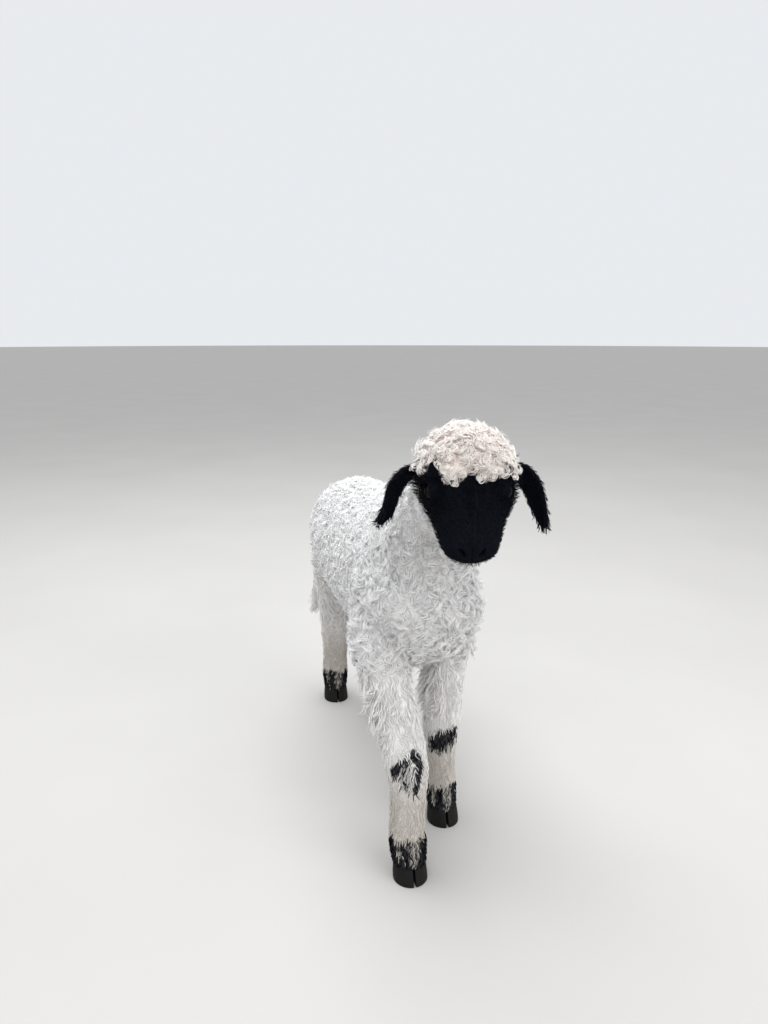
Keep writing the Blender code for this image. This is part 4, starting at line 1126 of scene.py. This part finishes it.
def grow(ground, zone, rng):
    """Sets locks of strands over one zone, and returns the pieces of coat that they make."""
    style = COAT_STYLES[zone]
    lock_places, lock_normals, unused = ground.scatter(zone, style["locks"], rng)
    places, normals, unwrap = ground.scatter(zone, style["strands"], rng)
    lock = nearest_locks(places, normals, lock_places, lock_normals)
    locks, count = len(lock_places), len(places)
    low, high = style["turn"]
    hand = np.where(smooth_noise(lock_places, 0.016, 2.3) + 0.5 * (rng.random(locks) - 0.5) > 0, 1.0, -1.0)
    swirl = style["swirl"]
    heading = smooth_noise(lock_places, 0.017, 7.7) * swirl + 0.7 * swirl ** 0.5 * (rng.random(locks) - 0.5)
    turn = hand * (low + (high - low) * rng.random(locks))
    phase = smooth_noise(lock_places, 0.012, 4.4) * 0.5 + 0.3 * rng.random(locks)
    reach = 0.85 + 0.30 * rng.random(locks)
    lean = style["lean"] * (0.4 + 1.2 * rng.random(locks))
    shape = {
        "heading": heading[lock] + 0.22 * (rng.random(count) - 0.5),
        "turn": turn[lock] * (0.85 + 0.30 * rng.random(count)),
        "phase": phase[lock] + 0.08 * (rng.random(count) - 0.5),
        "length": style["length"] * reach[lock] * (0.82 + 0.36 * rng.random(count))
                  * length_share(zone, places),
        "lean": lean[lock] + 0.16 * (rng.random(count) - 0.4) + lift(zone, places),
    }
    line, sideways, outward = strand_lines(places, normals, lie_of(zone, places), shape, style)
    offset = places - lock_places[lock]
    offset -= normals * (offset * normals).sum(1, keepdims=True)
    along = np.linspace(0, 1, line.shape[1])
    closing = style["gather"] * np.clip(along / 0.6, 0, 1) ** 1.3
    line -= offset[:, None] * closing[None, :, None]
    black = black_share(places, zones(places)) > rng.random(count) * 0.98
    # Facts for the finish: black hair, a random tone, the cap's cream, and the legs' dirt with painted shade.
    facts = {"black": black.astype(float), "tone": 0.5 * rng.random(locks)[lock] + 0.5 * rng.random(count),
             "cream": cream_share(places), "dirt_and_shade": dirt_and_shade_share(places)}
    width = style["width"] * (0.8 + 0.4 * rng.random(count))
    each = (style["steps"] - 1) * 6 + 4
    parts = max(1, math.ceil(count * each / MOST_TRIANGLES))
    order = np.argsort(places[:, 1], kind="stable")
    pieces = []
    for number, chosen in enumerate(np.array_split(order, parts), 1):
        name = f"{zone}_coat" if parts == 1 else f"{zone}_coat_{number}"
        pieces.append(strand_mesh(name, line[chosen], sideways[chosen], outward[chosen], width[chosen],
                                  unwrap[chosen], {fact: values[chosen] for fact, values in facts.items()}))
    for piece in pieces:
        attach(piece, "root")
    return pieces


def strand_lines(roots, normals, lies, shape, style):
    """Points along each strand, and the ways sideways and outward there."""
    lies = unit(lies - normals * (lies * normals).sum(1, keepdims=True))
    across = np.cross(normals, lies)
    along = np.linspace(0, 1, style["steps"] + 1)[None]
    risen = np.clip(along / style["rise"], 0, 1)
    settled = np.clip((along - style["rise"] * 0.6) / (1 - style["rise"] * 0.6), 0, 1)
    angle = shape["heading"][:, None] + shape["turn"][:, None] * settled \
        + style["wave"] * np.sin(2 * math.pi * (style["waves"] * along + shape["phase"][:, None]))
    pitch = style["stand"] * (1 - risen) ** 1.2 + shape["lean"][:, None] * risen
    ahead = lies[:, None] * np.cos(angle)[..., None] + across[:, None] * np.sin(angle)[..., None]
    heads = ahead * np.cos(pitch)[..., None] + normals[:, None] * np.sin(pitch)[..., None]
    step = (shape["length"] / style["steps"])[:, None, None]
    walked = np.cumsum((heads[:, :-1] + heads[:, 1:]) / 2 * step, axis=1)
    line = np.concatenate([np.zeros((len(roots), 1, 3)), walked], axis=1)
    line += (roots - normals * style["sink"])[:, None]
    sideways = np.cross(normals[:, None], ahead)
    return line, sideways, np.cross(heads, sideways)


def strand_mesh(name, line, sideways, outward, width, unwrap, facts):
    """One mesh of closed, tapering strands, each with a patch on the unwrap and facts for the finish."""
    count, rings = line.shape[:2]
    along = np.linspace(0, 1, rings)
    taper = np.minimum(1, 0.65 + along * 1.6) * np.minimum(1, (1.05 - along) / 0.45) ** 0.7
    turns = 2 * math.pi * (np.arange(3) / 3 + 0.25)
    shape = sideways[:, :, None] * np.cos(turns)[None, None, :, None] \
        + outward[:, :, None] * (np.sin(turns) * 0.8)[None, None, :, None]
    places = line[:, :, None] + shape * (width[:, None] * taper[None] / 2)[:, :, None, None]
    places = np.concatenate([places[:, :-1].reshape(count, -1, 3), line[:, -1:]], axis=1)
    each = (rings - 1) * 3 + 1
    rows, around = np.meshgrid(np.arange(rings - 2) * 3, np.arange(3), indexing="ij")
    after = (around + 1) % 3
    walls = np.stack([rows + around, rows + after, rows + 3 + after, rows + 3 + around], -1).reshape(-1)
    last = (rings - 2) * 3
    tips = np.array([[last + k, last + (k + 1) % 3, each - 1] for k in range(3)]).ravel()
    corners = np.concatenate([walls, tips, [2, 1, 0]])
    sizes = np.concatenate([np.full((rings - 2) * 3, 4), np.full(4, 3)])
    loops = (corners[None] + (np.arange(count) * each)[:, None]).ravel()
    starts = np.concatenate([[0], np.cumsum(np.tile(sizes, count))[:-1]])
    mesh = bpy.data.meshes.new(name)
    mesh.vertices.add(count * each)
    mesh.loops.add(len(loops))
    mesh.polygons.add(len(starts))
    mesh.vertices.foreach_set("co", places.astype(np.float32).ravel())
    mesh.loops.foreach_set("vertex_index", loops.astype(np.int32))
    mesh.polygons.foreach_set("loop_start", starts.astype(np.int32))
    mesh.update(calc_edges=True)
    mesh.shade_smooth()
    spread = np.stack([np.append(np.repeat(along[:-1], 3), 1.0),
                       np.append(np.tile([0, 0.5, 1], rings - 1), 0.5)], -1)
    patches = unwrap[:, None] + PATCH * (spread - 0.5)[None]
    layer = mesh.uv_layers.new(name="OFBake")
    layer.uv.foreach_set("vector", patches.reshape(-1, 2)[loops].astype(np.float32).ravel())
    piece = bpy.data.objects.new(name, mesh)
    bpy.context.scene.collection.objects.link(piece)
    give(piece, "along", np.tile(spread[:, 0], count))
    for fact, values in facts.items():
        give(piece, fact, np.repeat(values, each))
    return piece


def add_node(tree, kind, **values):
    """A shader node with its plain values set; sockets among the values are linked."""
    node = tree.nodes.new(kind)
    for key, value in values.items():
        name = key.replace("_", " ")
        if name not in node.inputs:
            setattr(node, key, value)
        elif isinstance(value, bpy.types.NodeSocket):
            tree.links.new(value, node.inputs[name])
        else:
            node.inputs[name].default_value = value
    return node


def plug(tree, value, socket):
    if isinstance(value, bpy.types.NodeSocket):
        tree.links.new(value, socket)
    else:
        socket.default_value = value


def blend(tree, factor, first, second):
    """A mix of two colours or sockets."""
    node = tree.nodes.new("ShaderNodeMix")
    node.data_type = "RGBA"
    for number, value in ((0, factor), (6, first), (7, second)):
        plug(tree, value, node.inputs[number])
    return node.outputs[2]


def fact(tree, name):
    return add_node(tree, "ShaderNodeAttribute", attribute_name=name).outputs["Fac"]


def maths(tree, operation, first, second=0.0):
    node = add_node(tree, "ShaderNodeMath", operation=operation)
    plug(tree, first, node.inputs[0])
    plug(tree, second, node.inputs[1])
    return node.outputs[0]


def ramp(tree, value, start, end):
    """0 up to start, 1 from end on, and smooth between."""
    node = add_node(tree, "ShaderNodeMapRange", interpolation_type="SMOOTHSTEP")
    for socket, given in zip(node.inputs, (value, start, end)):
        plug(tree, given, socket)
    return node.outputs[0]


def new_finish(name, roughness, specular):
    material = bpy.data.materials.new(name)
    material.use_nodes = True
    shader = material.node_tree.nodes["Principled BSDF"]
    shader.inputs["Roughness"].default_value = roughness
    shader.inputs["Specular IOR Level"].default_value = specular
    return material, material.node_tree, shader


def in_place(tree):
    return tree.nodes.new("ShaderNodeTexCoord").outputs["Object"]


def mottle(tree, scale, detail, distortion=0.0):
    """Smooth noise on the object's own coordinates."""
    return add_node(tree, "ShaderNodeTexNoise", Vector=in_place(tree), Scale=scale, Detail=detail,
                    Distortion=distortion).outputs["Fac"]


def add_bump(tree, shader, height, strength, distance):
    bump = add_node(tree, "ShaderNodeBump", Strength=strength, Distance=distance, Height=height)
    tree.links.new(bump.outputs[0], shader.inputs["Normal"])


def coat_finish(name, on_skin=False):
    """White wool with darker, creamier roots, their darkness dirt and painted shade among the strands, and
    blue-black hair, by the facts on the coat.
    """
    material, tree, shader = new_finish(name, 0.80, 0.07)
    clouds = mottle(tree, 55.0, 4.0)
    if on_skin:
        # On the skin the root and tip colours follow a curl pattern: painted shade between painted curls, so
        # gaps in the coat read as deep wool.
        curls = mottle(tree, 260.0, 2.5, 2.2)
        along, tone = ramp(tree, curls, 0.28, 0.70), clouds
        add_bump(tree, shader, curls, 0.80, 0.0025)
    else:
        along, tone = ramp(tree, fact(tree, "along"), -0.15, 0.65), fact(tree, "tone")
        add_bump(tree, shader, mottle(tree, 1400.0, 2.0), 0.35, 0.0004)
    # Each colour runs from a darker root to its tip: the darker roots are dirt and painted shade deep among
    # the strands.
    white = blend(tree, along, (0.84, 0.825, 0.81, 1), (0.96, 0.96, 0.955, 1))
    cream = blend(tree, along, (0.72, 0.58, 0.51, 1), (0.95, 0.90, 0.845, 1))
    # Greyish beige low on the legs: dirt together with painted shade.
    dirt_and_shade = blend(tree, along, (0.38, 0.34, 0.29, 1), (0.58, 0.53, 0.46, 1))
    wool = blend(tree, fact(tree, "cream"), white, cream)
    wool = blend(tree, fact(tree, "dirt_and_shade"), wool, dirt_and_shade)
    wool = blend(tree, maths(tree, "MULTIPLY", tone, 0.24), wool, (0.72, 0.70, 0.72, 1))
    worn = maths(tree, "MULTIPLY", ramp(tree, clouds, 0.45, 0.75), 0.20)
    wool = blend(tree, worn, wool, (0.80, 0.77, 0.74, 1))
    hair = blend(tree, tone, (0.0012, 0.0016, 0.0038, 1), (0.0040, 0.0050, 0.0098, 1))
    tree.links.new(blend(tree, fact(tree, "black"), wool, hair), shader.inputs["Base Color"])
    return material


def face_finish():
    """Short blue-black hair, duller at its roots with dirt and painted shade among the hairs, with a soft
    gloss where it lies flat.
    """
    material, tree, shader = new_finish("short_black_hair", 0.50, 0.08)
    along = ramp(tree, fact(tree, "along"), 0.0, 0.9)
    # The duller root colour is dirt and painted shade among the hairs.
    dull = blend(tree, fact(tree, "tone"), (0.0006, 0.0008, 0.0020, 1), (0.0018, 0.0024, 0.0050, 1))
    worn = blend(tree, fact(tree, "tone"), (0.0014, 0.0019, 0.0044, 1), (0.0050, 0.0060, 0.0110, 1))
    tree.links.new(blend(tree, along, dull, worn), shader.inputs["Base Color"])
    add_bump(tree, shader, mottle(tree, 1400.0, 2.0), 0.30, 0.0003)
    return material


def horn_finish():
    """Nearly black hoof horn with rings of growth and duller streaks."""
    material, tree, shader = new_finish("hoof_horn", 0.45, 0.20)
    rings = add_node(tree, "ShaderNodeTexWave", Vector=in_place(tree), bands_direction="Z", Scale=95.0,
                     Distortion=2.5, Detail=3.0).outputs["Fac"]
    streaks = mottle(tree, 160.0, 6.0)
    colour = blend(tree, streaks, (0.0014, 0.0014, 0.0017, 1), (0.0065, 0.0058, 0.0053, 1))
    colour = blend(tree, maths(tree, "MULTIPLY", rings, 0.35), colour, (0.012, 0.0105, 0.009, 1))
    tree.links.new(colour, shader.inputs["Base Color"])
    tree.links.new(ramp(tree, streaks, -0.8, 1.4), shader.inputs["Roughness"])
    add_bump(tree, shader, maths(tree, "ADD", rings, streaks), 0.20, 0.0003)
    return material


def eye_finish():
    """A wet eye: a dark brown iris with a wide level pupil, and no white between the lids."""
    material, tree, shader = new_finish("wet_eye", 0.14, 0.10)

    def power(value, exponent):
        return maths(tree, "POWER", value, exponent)

    def part_of(value, reach):
        return maths(tree, "ABSOLUTE", maths(tree, "DIVIDE", value, reach))

    across, upward = fact(tree, "across"), fact(tree, "upward")
    out = maths(tree, "SQRT", maths(tree, "ADD", power(across, 2.0), power(upward, 2.0)))
    oval = maths(tree, "ADD", power(part_of(across, 0.42), 3.0), power(part_of(upward, 0.20), 3.0))
    pupil = ramp(tree, oval, 1.25, 0.80)
    iris = blend(tree, mottle(tree, 900.0, 3.0), (0.0035, 0.0020, 0.0013, 1), (0.010, 0.0052, 0.0028, 1))
    iris = blend(tree, ramp(tree, out, 0.62, 0.80), iris, (0.004, 0.003, 0.003, 1))
    tree.links.new(blend(tree, pupil, iris, (0.0015, 0.0015, 0.002, 1)), shader.inputs["Base Color"])
    return material


def dress(obj, material):
    obj.data.materials.clear()
    obj.data.materials.append(material)


def soft_light(name, place, aim, size, power, colour):
    light = bpy.data.lights.new(name, "AREA")
    light.shape = "DISK"
    light.size = size
    light.energy = power
    light.color = colour
    lamp = bpy.data.objects.new(name, light)
    lamp.location = place
    lamp.rotation_euler = (Vector(aim) - Vector(place)).to_track_quat("-Z", "Y").to_euler()
    bpy.context.scene.collection.objects.link(lamp)


def make_studio():
    """A pale floor, a soft light overhead, weaker ones ahead on both sides, and pale surroundings."""
    floor = added("floor", bpy.ops.mesh.primitive_circle_add, vertices=96, radius=30, fill_type="NGON",
                  location=(0, 0, 0))
    material, tree, shader = new_finish("pale_floor", 0.85, 0.2)
    tree.links.new(blend(tree, mottle(tree, 3.0, 5.0), *FLOOR_COLOURS), shader.inputs["Base Color"])
    dress(floor, material)
    world = bpy.data.worlds.new("studio")
    bpy.context.scene.world = world
    world.use_nodes = True
    background = world.node_tree.nodes["Background"]
    background.inputs["Color"].default_value = SKY_COLOUR
    background.inputs["Strength"].default_value = SKY_STRENGTH
    for light in LIGHTS:
        soft_light(*light)


skin = make_skin()
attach(skin, "root")
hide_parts("torso", "neck", "head", "topknot", "tail", "ear_right", "ear_left",
            "shoulder_right", "shoulder_left", "thigh_right", "thigh_left",
            "foreleg_right", "foreleg_left", "hindleg_right", "hindleg_left")
skin_places = vertex_places(skin)
give(skin, "black", black_share(skin_places, zones(skin_places)))
give(skin, "cream", cream_share(skin_places))
give(skin, "dirt_and_shade", dirt_and_shade_share(skin_places))
skin.data.shade_smooth()
dress(skin, coat_finish("skin_under_coat", True))

ground = Ground(skin)
rng = np.random.default_rng(SEED)
coat, short_hair = coat_finish("wool_and_hair"), face_finish()
for zone in COAT_STYLES:
    for piece in grow(ground, zone, rng):
        dress(piece, short_hair if zone in ("face", "ear") else coat)

horn, wet = horn_finish(), eye_finish()
for word in SIDES:
    dress(eye_piece(word), wet)
    for leg in LEG_SECTIONS:
        dress(claw_piece(leg, word), horn)
dress(dewclaw_piece(), horn)

make_studio()
bpy.ops.object.camera_add(location=CAMERA_PLACE)
camera = bpy.context.active_object
camera.rotation_euler = (math.radians(90) - CAMERA_DIP, 0, -CAMERA_YAW)
camera.data.lens = CAMERA_LENS
camera.data.clip_start = 0.01
bpy.context.scene.camera = camera
bpy.context.scene.view_settings.view_transform = "Standard"
